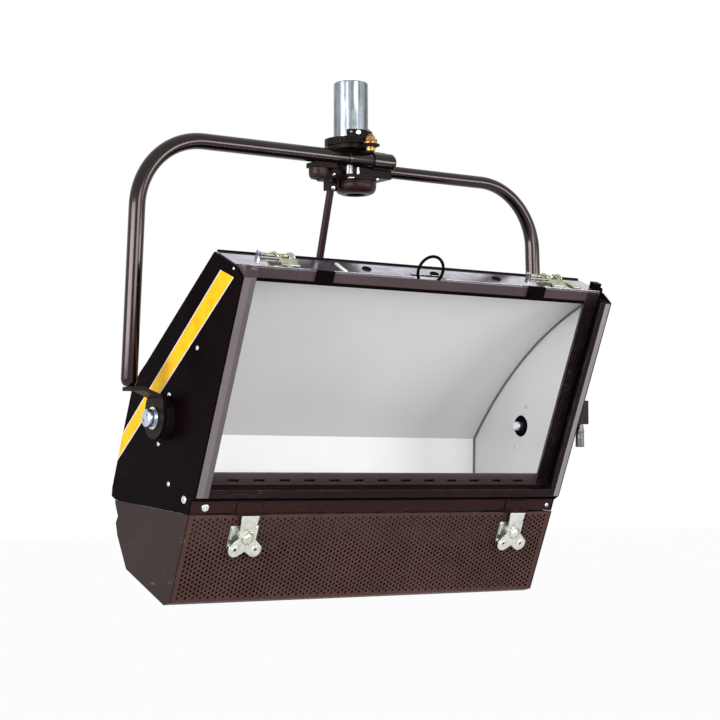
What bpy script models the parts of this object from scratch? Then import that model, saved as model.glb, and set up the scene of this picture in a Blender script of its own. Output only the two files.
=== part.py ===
"""Hanging soft light: a tilting reflector head in a yoke of two bent tubes, under a pan spigot.

Metres, +Z up. The origin is the middle of the spigot's top face and the head's front faces -Y. The head is
built in its own frame (x across, y to the back, z up its face) under an empty on the tilt axis.
"""
import math

import bmesh
import bpy
from mathutils import Matrix, Vector

# general
GAP = 0.0003
SHEET = 0.0012
HALF = 0.275                    # half the width over the end plates
PLATE_IN = 0.2728               # inner face of an end plate
INNER = 0.2725                  # half length of the folded panels between the end plates
TILT = math.radians(23.4)       # face-down angle of the head at rest
PIVOT = Vector((0.0, -0.012, -0.440))

# spigot, pan wheel and yoke
SPIGOT_R = 0.02225
SPIGOT_LOW = -0.0740
WHEEL_R = 0.034
WHEEL_ROOT = 0.032
WHEEL_TOP = -0.0743
WHEEL_LOW = -0.0830
TEETH = 36
TUBE_R = 0.010
BEND_R = 0.090
FRONT_Y = -0.0103               # planes of the two yoke tubes
BACK_Y = 0.0103
FRONT_Z = -0.1005               # heights of their level runs
BACK_Z = -0.1065
LEG_FOOT = -0.4031
EAR_IN = 0.2855
EAR_OUT = 0.2905
BOLT_R = 0.0062
BOLT_HOLE_R = 0.0066

# operating cups
PAN_CUP = (0.0075, 0.0)
TILT_CUP = (-0.0550, -0.008)

# tilt rod
ROD_X = -0.0305
ROD_TOP = Vector((ROD_X, 0.0, -0.137))
ROD_PIN = Vector((ROD_X, 0.0715, -0.381))
PIN_R = 0.0025
SLOT_TRAVEL = 0.0109
SLOT_SLACK = 0.0013

# head
FRONT_V = -0.1050               # front of the accessory channels
FRAME_V = -0.0845               # front of the colour frame
RAIL_V = -0.0970
DOOR_V = -0.0985
SEAM_SLOPE = -0.334             # the seam between end plate and lamp door falls to the back
SEAM_V = 0.0796
SEAM_W = -0.1410
HINGE = (0.0860, -0.1441)       # lamp door hinge
ARC_CENTRE = (-0.4103, -0.1782)
ARC_R = 0.5133
LAMP = (-0.010, -0.135)
LATCH_X = (-0.1940, 0.2120)
LATCH_W = -0.1084
RING_R = 0.0183
RING_WIRE = 0.0019
RING_AXIS = (-0.0770, 0.2103)
CLIP_X = (-0.2020, 0.2020)


def clear_scene():
    """Remove every object."""
    for old in list(bpy.data.objects):
        bpy.data.objects.remove(old, do_unlink=True)


def material(name, colour, metallic, roughness):
    """Return a Principled material."""
    mat = bpy.data.materials.new(name)
    mat.use_nodes = True
    shader = mat.node_tree.nodes["Principled BSDF"]
    shader.inputs["Base Color"].default_value = (*colour, 1.0)
    shader.inputs["Metallic"].default_value = metallic
    shader.inputs["Roughness"].default_value = roughness
    return mat


FINISHES = {
    "black_paint": ((0.020, 0.016, 0.016), 0.0, 0.35),
    "brown_paint": ((0.060, 0.042, 0.038), 0.0, 0.45),
    "grey_paint": ((0.110, 0.095, 0.098), 0.0, 0.45),
    "white_enamel": ((0.720, 0.720, 0.700), 0.0, 0.40),
    "zinc": ((0.640, 0.640, 0.600), 0.9, 0.35),
    "steel": ((0.560, 0.580, 0.600), 1.0, 0.30),
    "brass": ((0.700, 0.480, 0.200), 1.0, 0.30),
    "rubber": ((0.012, 0.012, 0.012), 0.0, 0.80),
    "glass": ((0.800, 0.820, 0.820), 0.0, 0.05),
    "ceramic": ((0.700, 0.680, 0.620), 0.0, 0.50),
}


def finished(solid):
    """Turn a bmesh into plain vertices and faces, with its faces outwards."""
    bmesh.ops.recalc_face_normals(solid, faces=solid.faces)
    solid.verts.index_update()
    points = [v.co.copy() for v in solid.verts]
    faces = [[v.index for v in f.verts] for f in solid.faces]
    solid.free()
    return points, faces


def prism(outline, low, high, axis="X"):
    """Extrude an outline along an axis; it holds (y, z), (x, z) or (x, y)."""
    place = {
        "X": lambda a, b, c: (c, a, b),
        "Y": lambda a, b, c: (a, c, b),
        "Z": lambda a, b, c: (a, b, c),
    }[axis]
    solid = bmesh.new()
    ends = []
    for level in (low, high):
        ring = [solid.verts.new(place(a, b, level)) for a, b in outline]
        solid.faces.new(ring)
        ends.append(ring)
    for i in range(len(outline)):
        j = (i + 1) % len(outline)
        solid.faces.new((ends[0][i], ends[0][j], ends[1][j], ends[1][i]))
    return finished(solid)


def block(x, y, z):
    """Box between the limits on each axis."""
    return prism([(x[0], y[0]), (x[1], y[0]), (x[1], y[1]), (x[0], y[1])], z[0], z[1], "Z")


def lathe(profile, centre, axis="Z", sides=24):
    """Turn (radius, height) pairs about an axis through a point; the ends close on the axis or as flat faces."""
    basis = {
        "X": (Vector((0, 1, 0)), Vector((0, 0, 1)), Vector((1, 0, 0))),
        "Y": (Vector((0, 0, 1)), Vector((1, 0, 0)), Vector((0, 1, 0))),
        "Z": (Vector((1, 0, 0)), Vector((0, 1, 0)), Vector((0, 0, 1))),
    }[axis] if isinstance(axis, str) else axis
    solid = bmesh.new()
    rings = []
    for radius, height in profile:
        middle = Vector(centre) + basis[2] * height
        ring = []
        for k in range(sides):
            turn = math.tau * k / sides
            ring.append(solid.verts.new(middle + (basis[0] * math.cos(turn) + basis[1] * math.sin(turn)) * radius))
        rings.append(ring)
    for lower, upper in zip(rings, rings[1:]):
        for k in range(sides):
            j = (k + 1) % sides
            solid.faces.new((lower[k], lower[j], upper[j], upper[k]))
    solid.faces.new(rings[0])
    solid.faces.new(rings[-1])
    return finished(solid)


def rod(radius, start, end, centre, axis="X", sides=24):
    """Plain cylinder between two heights on an axis."""
    return lathe([(radius, start), (radius, end)], centre, axis, sides)


def sweep(path, radii, sides=20):
    """Round bar along a path in an XZ plane, with a radius at each point."""
    solid = bmesh.new()
    rings = []
    for i, point in enumerate(path):
        ahead = path[min(i + 1, len(path) - 1)]
        behind = path[max(i - 1, 0)]
        along = (ahead - behind).normalized()
        out = Vector((0, 1, 0))
        across = along.cross(out)
        ring = []
        for k in range(sides):
            turn = math.tau * k / sides
            ring.append(solid.verts.new(point + (across * math.cos(turn) + out * math.sin(turn)) * radii[i]))
        rings.append(ring)
    for lower, upper in zip(rings, rings[1:]):
        for k in range(sides):
            j = (k + 1) % sides
            solid.faces.new((lower[k], lower[j], upper[j], upper[k]))
    solid.faces.new(rings[0])
    solid.faces.new(rings[-1])
    return finished(solid)


def ring_body(centre, radius, wire, sides=28, around=10):
    """Closed wire ring in an XZ plane."""
    solid = bmesh.new()
    rings = []
    for i in range(sides):
        turn = math.tau * i / sides
        out = Vector((math.cos(turn), 0, math.sin(turn)))
        ring = []
        for k in range(around):
            roll = math.tau * k / around
            ring.append(solid.verts.new(Vector(centre) + out * (radius + wire * math.cos(roll))
                                        + Vector((0, wire * math.sin(roll), 0))))
        rings.append(ring)
    for i in range(sides):
        for k in range(around):
            j = (k + 1) % around
            n = (i + 1) % sides
            solid.faces.new((rings[i][k], rings[i][j], rings[n][j], rings[n][k]))
    return finished(solid)


def moved(shape, matrix):
    """Shape carried by a matrix."""
    points, faces = shape
    return [matrix @ p for p in points], faces


def together(*shapes):
    """Several separate shapes in one list, for a cutter or an addition."""
    points, faces = [], []
    for more, loops in shapes:
        faces += [[i + len(points) for i in loop] for loop in loops]
        points += more
    return points, faces


def folded(path, thick=SHEET, side=1.0):
    """Outline of a folded sheet: a path and the same path offset to its left (side 1) or right (-1)."""
    pairs = [Vector(p) for p in path]
    normals = []
    for a, b in zip(pairs, pairs[1:]):
        along = (b - a).normalized()
        normals.append(Vector((-along.y, along.x)) * side)
    inner = []
    for i, point in enumerate(pairs):
        before = normals[max(i - 1, 0)]
        after = normals[min(i, len(normals) - 1)]
        mitre = (before + after).normalized()
        inner.append(point + mitre * (thick / mitre.dot(before)))
    return [tuple(p) for p in pairs] + [tuple(p) for p in reversed(inner)]


def arc(centre, radius, start, end, steps):
    """Points on an arc, angles in degrees."""
    turns = [math.radians(start + (end - start) * i / steps) for i in range(steps + 1)]
    return [(centre[0] + radius * math.cos(a), centre[1] + radius * math.sin(a)) for a in turns]


def seam(v):
    """Height of the seam between end plate and lamp door."""
    return SEAM_W + (v - SEAM_V) * SEAM_SLOPE


def plain_object(name, shape, parent):
    """Mesh object from a shape."""
    mesh = bpy.data.meshes.new(name)
    mesh.from_pydata([tuple(p) for p in shape[0]], [], shape[1])
    mesh.update()
    made = bpy.data.objects.new(name, mesh)
    bpy.context.scene.collection.objects.link(made)
    made.parent = parent
    return made


def part(name, slot, parent, shape, adds=(), cuts=(), smooth=False):
    """Sub-part with its material, its welded additions and its cut-outs."""
    made = plain_object(name, shape, parent)
    made.data.materials.append(material(name + "_" + slot, *FINISHES[slot]))
    steps = [("UNION", s) for s in adds] + [("DIFFERENCE", s) for s in cuts]
    for i, (operation, tool_shape) in enumerate(steps):
        tool = plain_object(f"{name}_tool_{i}", tool_shape, parent)
        tool.display_type = "WIRE"
        tool.hide_render = True
        step = made.modifiers.new(f"step_{i}", "BOOLEAN")
        step.operation = operation
        step.solver = "EXACT"
        step.object = tool
        if smooth:
            for face in tool.data.polygons:
                face.use_smooth = True
    if smooth:
        made.data.shade_smooth()
        made.data.set_sharp_from_angle(angle=math.radians(32))
    return made


def empty(name, location, parent=None, turn=(0, 0, 0)):
    """Empty to carry the pieces of one assembly."""
    made = bpy.data.objects.new(name, None)
    bpy.context.scene.collection.objects.link(made)
    made.location = location
    made.rotation_euler = turn
    made.parent = parent
    return made


def bent_leg(plane_y, start, corner, foot):
    """Path of a yoke tube: level run, bend and leg."""
    a, b, c = (Vector((p[0], 0.0, p[1])) for p in (start, corner, foot))
    into = (b - a).normalized()
    away = (c - b).normalized()
    half = into.angle(away) / 2
    back = BEND_R * math.tan(half)
    begin = b - into * back
    middle = begin + (away - into * into.dot(away)).normalized() * BEND_R
    spoke = begin - middle
    turn = -2 * half if into.cross(away).y < 0 else 2 * half
    bend = [middle + Matrix.Rotation(turn * i / 9, 3, "Y") @ spoke for i in range(10)]
    path = [a] + bend + [c - away * 0.006, c - away * 0.0018, c]
    radii = [TUBE_R] * (len(path) - 2) + [TUBE_R * 0.82, TUBE_R * 0.45]
    return [p + Vector((0, plane_y, 0)) for p in path], radii


def build_spigot():
    """Spigot, toothed pan wheel and collar: these stay with the grid or stand."""
    chamfer = 0.0015
    profile = [(SPIGOT_R, SPIGOT_LOW), (SPIGOT_R, -chamfer), (SPIGOT_R - chamfer, 0.0)]
    part("spigot", "steel", None, lathe(profile, (0, 0, 0), "Z", 40), smooth=True)
    outline = []
    for tooth in range(TEETH):
        for share, radius in ((0.0, WHEEL_ROOT), (0.25, WHEEL_R), (0.5, WHEEL_R), (0.75, WHEEL_ROOT)):
            turn = math.tau * (tooth + share) / TEETH
            outline.append((radius * math.cos(turn), radius * math.sin(turn)))
    collar = arc((0, 0), 0.0280, -135, 35, 14) + arc((0, 0), 0.0226, 35, -135, 14)
    part("pan_wheel", "black_paint", None, prism(outline, WHEEL_LOW, WHEEL_TOP, "Z"),
         adds=[prism(collar, WHEEL_TOP - 0.001, -0.0645, "Z"),
               rod(0.008, -0.0890, WHEEL_LOW + 0.001, (0, 0, 0), "Z")])
    turn = math.radians(-105)
    out = Vector((math.cos(turn), math.sin(turn), 0))
    axis = (Vector((0, 0, 1)).cross(out), Vector((0, 0, 1)), out)
    part("collar_screw", "steel", None,
         lathe([(0.0034, 0.0282), (0.0034, 0.0306), (0.0022, 0.0316)], (0, 0, -0.0694), axis, 12), smooth=True)


def build_saddle(yoke):
    """Casting that holds both yoke tubes under the pan wheel."""
    body = [(-0.037, -0.122), (0.057, -0.122)] + arc((0.045, -0.100), 0.012, 0, 90, 5) + [(-0.037, -0.088)]
    adds = [
        rod(0.030, -0.0885, -0.0834, (0, 0, 0), "Z", 36),
        block((-0.038, 0.026), (-0.014, 0.022), (-0.1285, -0.1175)),
        block((-0.024, 0.0255), (-0.028, -0.012), (-0.1285, -0.1235)),
        block((-0.067, -0.035), (-0.021, 0.002), (-0.1170, -0.1108)),
        block((-0.008, 0.008), (-0.054, -0.004), (-0.0898, -0.0862)),
        block((-0.0376, -0.0356), (-0.007, 0.007), (-0.143, -0.126)),
        block((-0.0254, -0.0236), (-0.007, 0.007), (-0.143, -0.126)),
        rod(PIN_R, -0.0370, -0.0242, (0, ROD_TOP.y, ROD_TOP.z), "X", 12),
        rod(0.004, -0.136, -0.127, (PAN_CUP[0], 0, 0), "Z", 16),
        rod(0.003, -0.1225, -0.115, (*TILT_CUP, 0), "Z", 12),
    ]
    cuts = [
        rod(TUBE_R + GAP, -0.05, 0.07, (0, FRONT_Y, FRONT_Z), "X", 32),
        rod(TUBE_R + GAP, -0.0345, 0.07, (0, BACK_Y, BACK_Z), "X", 32),
        rod(0.008 + GAP, -0.0893, -0.08, (0, 0, 0), "Z", 24),
        rod(0.0042 + GAP, -0.095, -0.08, (0, -0.045, 0), "Z", 20),
    ]
    part("saddle", "black_paint", yoke, prism(body, -0.0103, 0.028, "Y"), adds, cuts)
    part("clamp_stud", "steel", yoke,
         lathe([(0.005, -0.1232), (0.005, -0.1125), (0.0042, -0.1112)], (-0.017, -0.0215, 0), "Z", 16), smooth=True)
    knob = [(0.0048, -0.0962), (0.0062, -0.0950), (0.0062, -0.0901), (0.0042, -0.0901), (0.0042, -0.0859),
            (0.0088, -0.0859), (0.0088, -0.0838), (0.0068, -0.0820), (0.0058, -0.0768), (0.0030, -0.0735)]
    part("index_plunger", "brass", yoke, lathe(knob, (0.0, -0.045, 0), "Z", 16), smooth=True)


def build_yoke(yoke):
    """Yoke tubes, ears, washers and pivot bolts."""
    left = bent_leg(FRONT_Y, (0.059, FRONT_Z), (-0.3103, FRONT_Z), (-0.3228, LEG_FOOT))
    right = bent_leg(BACK_Y, (-0.034, BACK_Z), (0.3080, BACK_Z), (0.3157, LEG_FOOT))
    part("yoke_tube_left", "black_paint", yoke, sweep(*left), smooth=True)
    part("yoke_tube_right", "black_paint", yoke, sweep(*right), smooth=True)
    for side, name, reach in ((-1, "left", 0.013), (1, "right", 0.033)):
        ear = [(0.013, 0.0266), (-0.019, 0.0266), (-0.0235, 0.0190)] + arc((0, 0), 0.0250, 165, 375, 14)
        ear += [(0.019, 0.0220)]
        world = [(PIVOT.y + a, PIVOT.z + b) for a, b in ear]
        plate = prism(world, side * EAR_IN, side * EAR_OUT)
        slope = [(side * 0.3255, 0.0366), (side * 0.3110, 0.0366), (side * 0.2880, 0.0266), (side * 0.2880, 0.0220),
                 (side * 0.3100, 0.0318), (side * 0.3255, 0.0318)]
        strap = prism([(x, PIVOT.z + z) for x, z in slope], PIVOT.y - 0.019, PIVOT.y + reach, "Y")
        corner = prism([(side * 0.3300, PIVOT.y - 0.009), (side * 0.3255, PIVOT.y - 0.009),
                        (side * 0.2915, PIVOT.y - 0.019), (side * 0.2915, -0.05), (side * 0.3300, -0.05)],
                       -0.45, -0.35, "Z")
        hole = rod(BOLT_HOLE_R, side * 0.28, side * 0.30, (0, PIVOT.y, PIVOT.z), "X")
        part(f"ear_{name}", "black_paint", yoke, plate, adds=[strap], cuts=[corner, hole])
        washer = rod(0.0135, side * 0.2908, side * 0.2926, (0, PIVOT.y, PIVOT.z), "X", 28)
        part(f"washer_{name}", "steel", yoke, washer, cuts=[hole], smooth=True)
        bolt = [(0.0048, side * 0.2620), (BOLT_R, side * 0.2634), (BOLT_R, side * 0.2929), (0.0110, side * 0.2929),
                (0.0110, side * 0.3006), (0.0096, side * 0.3020)]
        part(f"pivot_bolt_{name}", "zinc", yoke, lathe(bolt, (0, PIVOT.y, PIVOT.z), "X", 24), smooth=True)


def build_cups(pan_drive, tilt_drive):
    """Operating cups under the saddle: a bell with a cross bar for the pole's hook."""
    bell = [(0.0185, -0.1450), (0.0235, -0.1428), (0.0262, -0.1385), (0.0270, -0.1340), (0.0270, -0.1290)]
    part("pan_cup", "brown_paint", pan_drive, lathe(bell, (0, 0, 0), "Z", 28), smooth=True,
         cuts=[rod(0.0130, -0.16, -0.1385, (0, 0, 0), "Z", 20), rod(0.0043, -0.1375, -0.12, (0, 0, 0), "Z", 16)],
         adds=[])
    part("tilt_cup", "brown_paint", tilt_drive,
         lathe([(0.0085, -0.1310), (0.0112, -0.1290), (0.0125, -0.1255), (0.0125, -0.1174)], (0, 0, 0), "Z", 24),
         cuts=[rod(0.0065, -0.14, -0.1257, (0, 0, 0), "Z", 16), rod(0.0033, -0.1230, -0.11, (0, 0, 0), "Z", 16)],
         smooth=True)


def build_rod(swing):
    """Tilt rod: an outer tube hung on the saddle and the screw that slides in it. Local -Z runs down the rod."""
    length = (ROD_PIN - ROD_TOP).length
    eye = rod(0.0060, -0.0047, 0.0047, (0, 0, 0), "X", 20)
    tube = rod(0.0048, -0.190, -0.003, (0, 0, 0), "Z", 16)
    part("tilt_tube", "black_paint", swing, eye, adds=[tube],
         cuts=[rod(PIN_R + GAP, -0.01, 0.01, (0, 0, 0), "X", 16), rod(0.0033, -0.20, -0.055, (0, 0, 0), "Z", 16)])
    screw = [(0.0030, -length + 0.002), (0.0030, -0.104)]
    pin = rod(PIN_R, -0.0080, 0.0080, (0, 0, -length), "X", 12)
    ball = lathe([(0.0018, -0.0040), (0.0036, -0.0026), (0.0042, 0.0), (0.0036, 0.0026), (0.0018, 0.0040)],
                 (0, 0, -length), "X", 12)
    part("tilt_screw", "steel", swing, lathe(screw, (0, 0, 0), "Z", 14), adds=[ball, pin])


END_OUTLINE = [
    (-0.1040, -0.0580), (-0.1040, 0.2120), (-0.0850, 0.2190), (-0.0315, 0.2190), (0.0720, 0.0450),
    (0.0840, 0.0270), (0.0950, 0.0010), (0.0950, -0.0800), (0.0940, -0.1310), (0.0910, -0.1410),
    (SEAM_V, SEAM_W), (-0.0970, seam(-0.0970)), (-0.0970, -0.0660),
]


def build_shell(head):
    """End plates, panels, rails and channels of the head."""
    for side, name in ((-1, "left"), (1, "right")):
        hole = rod(BOLT_HOLE_R, side * 0.26, side * 0.29, (0, 0, 0), "X")
        part(f"end_plate_{name}", "black_paint", head, prism(END_OUTLINE, side * PLATE_IN, side * HALF), cuts=[hole])
        disc = rod(0.0260, side * 0.2754, side * 0.2852, (0, 0, 0), "X", 32)
        part(f"friction_disc_{name}", "rubber", head, disc, cuts=[hole], smooth=True)
        section = [(side * 0.2570, FRONT_V), (side * INNER, FRONT_V), (side * INNER, -0.0800), (side * 0.2500, -0.0800)]
        part(f"channel_{name}", "grey_paint", head, prism(folded(section, SHEET, side), -0.0580, 0.2120, "Z"))
        lining = [(-0.0775, 0.2150), (-0.0350, 0.2150), (0.0685, 0.0435), (0.0805, 0.0250), (0.0915, 0.0000),
                  (0.0915, -0.0800), (0.0885, -0.1300), (-0.0775, -0.0800)]
        opening = rod(0.0145, side * 0.26, side * 0.28, (0, 0, 0), "X", 28)
        part(f"liner_{name}", "white_enamel", head, prism(lining, side * 0.2698, side * 0.2706), cuts=[opening])
    knuckles = []
    for x in CLIP_X:
        for step in (-0.0225, 0.0195):
            knuckles.append(prism([(-0.0455, 0.2195), (-0.0385, 0.2195), (-0.0385, 0.2270), (-0.0455, 0.2270)],
                                  x + step, x + step + 0.003))
    holes = [rod(0.0048, 0.21, 0.23, (x, -0.060, 0), "Z", 16) for x in (-0.081, 0.0197, 0.1164)]
    notch = block((-0.024, 0.024), (-0.09, -0.0660), (0.21, 0.23))
    part("top_panel", "grey_paint", head, block((-INNER, INNER), (-0.0795, -0.0315), (0.2191, 0.2203)),
         adds=[together(*knuckles)], cuts=[together(*holes, notch)])
    back = [(-0.0302, 0.2169), (0.0720, 0.0450), (0.0840, 0.0270), (0.0950, 0.0010), (0.0950, -0.0800),
            (0.0940, -0.1310), (0.0910, -0.1410), (0.0815, -0.1410)]
    barrels = together(*(rod(0.0036, x, x + 0.040, (0, *HINGE), "X", 14) for x in (-0.220, 0.180)))
    part("back_panel", "black_paint", head, prism(folded(back, SHEET, -1), -INNER, INNER), adds=[barrels])
    rail = [(RAIL_V, -0.0805), (RAIL_V, -0.0660), (-0.0797, -0.0660), (-0.0797, -0.0360)]
    part("bottom_rail", "brown_paint", head, prism(folded(rail, SHEET, -1), -INNER, INNER))
    lip = [(FRONT_V, -0.0480), (FRONT_V, -0.0580), (-0.0812, -0.0580)]
    part("bottom_channel", "black_paint", head, prism(folded(lip, SHEET, 1), -0.2565, 0.2565))


def build_optics(head):
    """Reflector, lamp trough, lamps and holders."""
    curve = arc(ARC_CENTRE, ARC_R, 48.1, 13.9, 12)
    path = [(curve[0][0], 0.2180)] + curve + [(0.0710, -0.0970), (0.0600, -0.1220)]
    part("reflector", "white_enamel", head, prism(folded(path, 0.0010, 1), -0.2692, 0.2692))
    trough = [(-0.0775, -0.0400), (-0.0775, -0.0850), (-0.0400, -0.1580), (0.0200, -0.1580), (0.0520, -0.1200)]
    part("lamp_trough", "white_enamel", head, prism(folded(trough, 0.0010, 1), -0.2675, 0.2675))
    for side, name in ((-1, "left"), (1, "right")):
        tube = [(0.0045, side * 0.0130), (0.0045, side * 0.0240), (0.0060, side * 0.0260), (0.0060, side * 0.2320),
                (0.0045, side * 0.2340), (0.0045, side * 0.2450)]
        part(f"lamp_{name}", "glass", head, lathe(tube, (0, *LAMP), "X", 16), smooth=True)
    post = [(LAMP[0] - 0.008, -0.1566), (LAMP[0] + 0.008, -0.1566), (LAMP[0] + 0.008, LAMP[1] + 0.005),
            (LAMP[0] + 0.005, LAMP[1] + 0.008), (LAMP[0] - 0.005, LAMP[1] + 0.008), (LAMP[0] - 0.008, LAMP[1] + 0.005)]
    part("lamp_holder_left", "ceramic", head, prism(post, -0.2620, -0.2455))
    part("lamp_holder_middle", "ceramic", head, prism(post, -0.0125, 0.0125))
    part("lamp_holder_right", "ceramic", head, prism(post, 0.2455, 0.2620))


def build_lug(head):
    """Slotted lug on the back panel that the tilt rod's pin runs in."""
    local = Matrix.Rotation(-TILT, 3, "X") @ (ROD_PIN - PIVOT)
    pin = Vector((local.y, local.z))
    radial = pin.normalized()
    across = Vector((-radial.y, radial.x))
    start = Vector((0.0840, 0.0270))
    along = (Vector((0.0950, 0.0010)) - start).normalized()
    out = Vector((-along.y, along.x))

    def on_panel(s, d):
        return tuple(start + along * s + out * d)

    def by_pin(a, b):
        return tuple(pin + radial * a + across * b)

    foot = [on_panel(0.001, GAP), on_panel(0.027, GAP), on_panel(0.027, 0.0023), on_panel(0.001, 0.0023)]
    reach = SLOT_TRAVEL + PIN_R + SLOT_SLACK
    cheek = [on_panel(0.003, GAP), on_panel(0.025, GAP), by_pin(reach + 0.003, -0.0075), by_pin(reach + 0.003, 0.0075)]
    near, half = -PIN_R - SLOT_SLACK / 2, PIN_R + SLOT_SLACK
    slot = [by_pin(near, -half), by_pin(reach, -half), by_pin(reach, half), by_pin(near, half)]
    part("tilt_lug", "black_paint", head, prism(foot, ROD_X - 0.014, ROD_X + 0.014),
         adds=[prism(cheek, ROD_X - 0.0071, ROD_X - 0.0051), prism(cheek, ROD_X + 0.0051, ROD_X + 0.0071)],
         cuts=[prism(slot, ROD_X - 0.01, ROD_X + 0.01)])


def build_fittings(head):
    """Keepers, corner pieces, side catch bracket and cable gland."""
    for x, name in zip(LATCH_X, ("left", "right")):
        keeper = [(-0.0973, -0.0670), (-0.0973, -0.0790), (-0.1035, -0.0815), (-0.1042, -0.0802), (-0.0990, -0.0778),
                  (-0.0990, -0.0670)]
        part(f"keeper_{name}", "brown_paint", head, prism(keeper, x - 0.017, x + 0.017))
    part("corner_block_left", "black_paint", head,
         block((-0.2725, -0.2560), (-0.1045, -0.0870), (0.2123, 0.2215)),
         adds=[rod(0.0032, 0.2205, 0.2240, (-0.2645, -0.0955, 0), "Z", 12)])
    corner = [(0.2615, 0.2207), (0.2757, 0.2207), (0.2757, 0.2060), (0.2840, 0.2060), (0.2840, 0.2130),
              (0.2785, 0.2155), (0.2760, 0.2240), (0.2725, 0.2245), (0.2725, 0.2295), (0.2615, 0.2295)]
    part("corner_catch_right", "black_paint", head, prism(corner, -0.0790, -0.0690, "Y"))
    nut = lathe([(0.0110, 0.0953), (0.0110, 0.1010), (0.0085, 0.1030), (0.0085, 0.1120), (0.0070, 0.1150)],
                (0.200, 0, -0.100), "Y", 12)
    part("cable_gland", "rubber", head, nut, cuts=[rod(0.0045, 0.1130, 0.12, (0.200, 0, -0.100), "Y", 12)])


def build_side_catch(upright):
    """Side catch on the right end plate: it stands upright in the rest pose. Local origin on its plunger's axis."""
    part("side_catch_bracket", "black_paint", upright, block((-0.0087, 0.0085), (-0.008, 0.008), (0.0, 0.031)),
         cuts=[rod(0.0042, -0.01, 0.024, (0, 0, 0), "Z", 16)])
    shape = [(0.0045, -0.0300), (0.0060, -0.0285), (0.0060, -0.0080), (0.0050, -0.0050), (0.0050, -0.0010),
             (0.0038, -0.0010), (0.0038, 0.0160)]
    part("side_plunger", "steel", upright, lathe(shape, (0, 0, 0), "Z", 20), smooth=True)


def build_door(hinge):
    """Lamp door: perforated tray with solid ends, hinged along its back edge. Local origin on the hinge."""
    shift = Matrix.Translation((0, -HINGE[0], -HINGE[1]))
    tray = [(DOOR_V, -0.0828), (DOOR_V + 0.0005, -0.1960), (-0.0870, -0.2040), (0.0180, -0.2070), (0.0570, -0.1790),
            (0.0670, -0.1666), (0.0650, -0.1570), (0.0785, -0.1452), (0.0850, -0.1452)]
    barrels = together(*(rod(0.0028, x, x + 0.0390, (0, *HINGE), "X", 12) for x in (-0.2605, -0.1795, 0.1395, 0.2205)))
    gaps = together(*(block((x, x + 0.0420), (0.0805, 0.0900), (-0.1500, -0.1380)) for x in (-0.2210, 0.1790)))
    part("lamp_door", "brown_paint", hinge, moved(prism(folded(tray, SHEET, 1), -INNER, INNER), shift),
         adds=[moved(barrels, shift)], cuts=[moved(gaps, shift)])
    cap = tray[:7] + [(0.0785, -0.1452), (0.0790, seam(0.0790) - 0.0006), (DOOR_V, seam(DOOR_V) - 0.0006)]
    part("door_end_left", "brown_paint", hinge, moved(prism(cap, -HALF, -PLATE_IN), shift))
    part("door_end_right", "brown_paint", hinge, moved(prism(cap, PLATE_IN, HALF), shift))
    for x, name in zip(LATCH_X, ("left", "right")):
        base = block((x - 0.0205, x + 0.0175), (-0.1003, -0.0988), (-0.1240, -0.0960))
        boss = rod(0.0085, -0.1043, -0.0995, (x, 0, LATCH_W), "Y", 20)
        stay = rod(0.0013, -0.1130, -0.0980, (x - 0.0185, -0.1013, 0), "Z", 8)
        bore = rod(0.0033, -0.11, -0.09, (x, 0, LATCH_W), "Y", 16)
        part(f"latch_base_{name}", "zinc", hinge, moved(base, shift), adds=[moved(boss, shift), moved(stay, shift)],
             cuts=[moved(bore, shift)])


def build_latch(turner, name):
    """Twist latch: butterfly wing on its hub and the tab it draws down. Local origin on the hub's axis."""
    slot = [(0.0034, 0.0034), (-0.0034, 0.0034), (-0.0034, -0.0200), (0.0034, -0.0200)]
    tab = [(-0.0140, 0.0276), (-0.0125, 0.0010), (-0.0105, -0.0130), (0.0105, -0.0130), (0.0125, 0.0010),
           (0.0140, 0.0276)]
    part(f"latch_tab_{name}", "zinc", turner, prism(tab, -0.1062, -0.1046, "Y"),
         cuts=[prism(slot, -0.12, -0.09, "Y")])
    lobes = [(-0.0060, 0.0080), (-0.0105, 0.0000)] + arc((-0.0145, -0.0158), 0.0105, 150, 300, 8)
    lobes += [(0.0, -0.0185)] + arc((0.0145, -0.0158), 0.0105, 240, 390, 8) + [(0.0105, 0.0000), (0.0060, 0.0080)]
    hub = lathe([(0.0030, -0.0990), (0.0030, -0.1080), (0.0065, -0.1080), (0.0065, -0.1100), (0.0045, -0.1115)],
                (0, 0, 0), "Y", 16)
    eyes = together(*(rod(0.0021, -0.12, -0.09, (x, 0, -0.0158), "Y", 10) for x in (-0.0155, 0.0155)))
    part(f"latch_wing_{name}", "zinc", turner, prism(lobes, -0.1090, -0.1066, "Y"), adds=[hub], cuts=[eyes])


def build_frame(slider, loop):
    """Colour frame in the channels and its pull ring."""
    outer = block((-0.2690, 0.2690), (FRAME_V, FRAME_V + 0.0030), (-0.0500, 0.2190))
    window = block((-0.2470, 0.2470), (-0.10, -0.07), (-0.0350, 0.2030))
    slots = [block((x - 0.008, x + 0.008), (-0.10, -0.07), (-0.0465, -0.0425))
             for x in (-0.216 + 0.036 * i for i in range(13))]
    tabs = together(block((-0.166, -0.143), (FRAME_V - 0.0035, FRAME_V + 0.001), (0.2065, 0.2215)),
                    block((0.150, 0.175), (FRAME_V - 0.0035, FRAME_V + 0.001), (0.2065, 0.2215)))
    barrel = rod(0.0050, -0.0040, 0.0040, (0, *RING_AXIS), "X", 16)
    eye = rod(0.0027, -0.01, 0.01, (0, *RING_AXIS), "X", 16)
    part("colour_frame", "grey_paint", slider, outer, adds=[tabs, barrel], cuts=[together(window, *slots), eye])
    part("pull_ring", "black_paint", loop, ring_body((0, 0, RING_R), RING_R, RING_WIRE), smooth=True)


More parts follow.
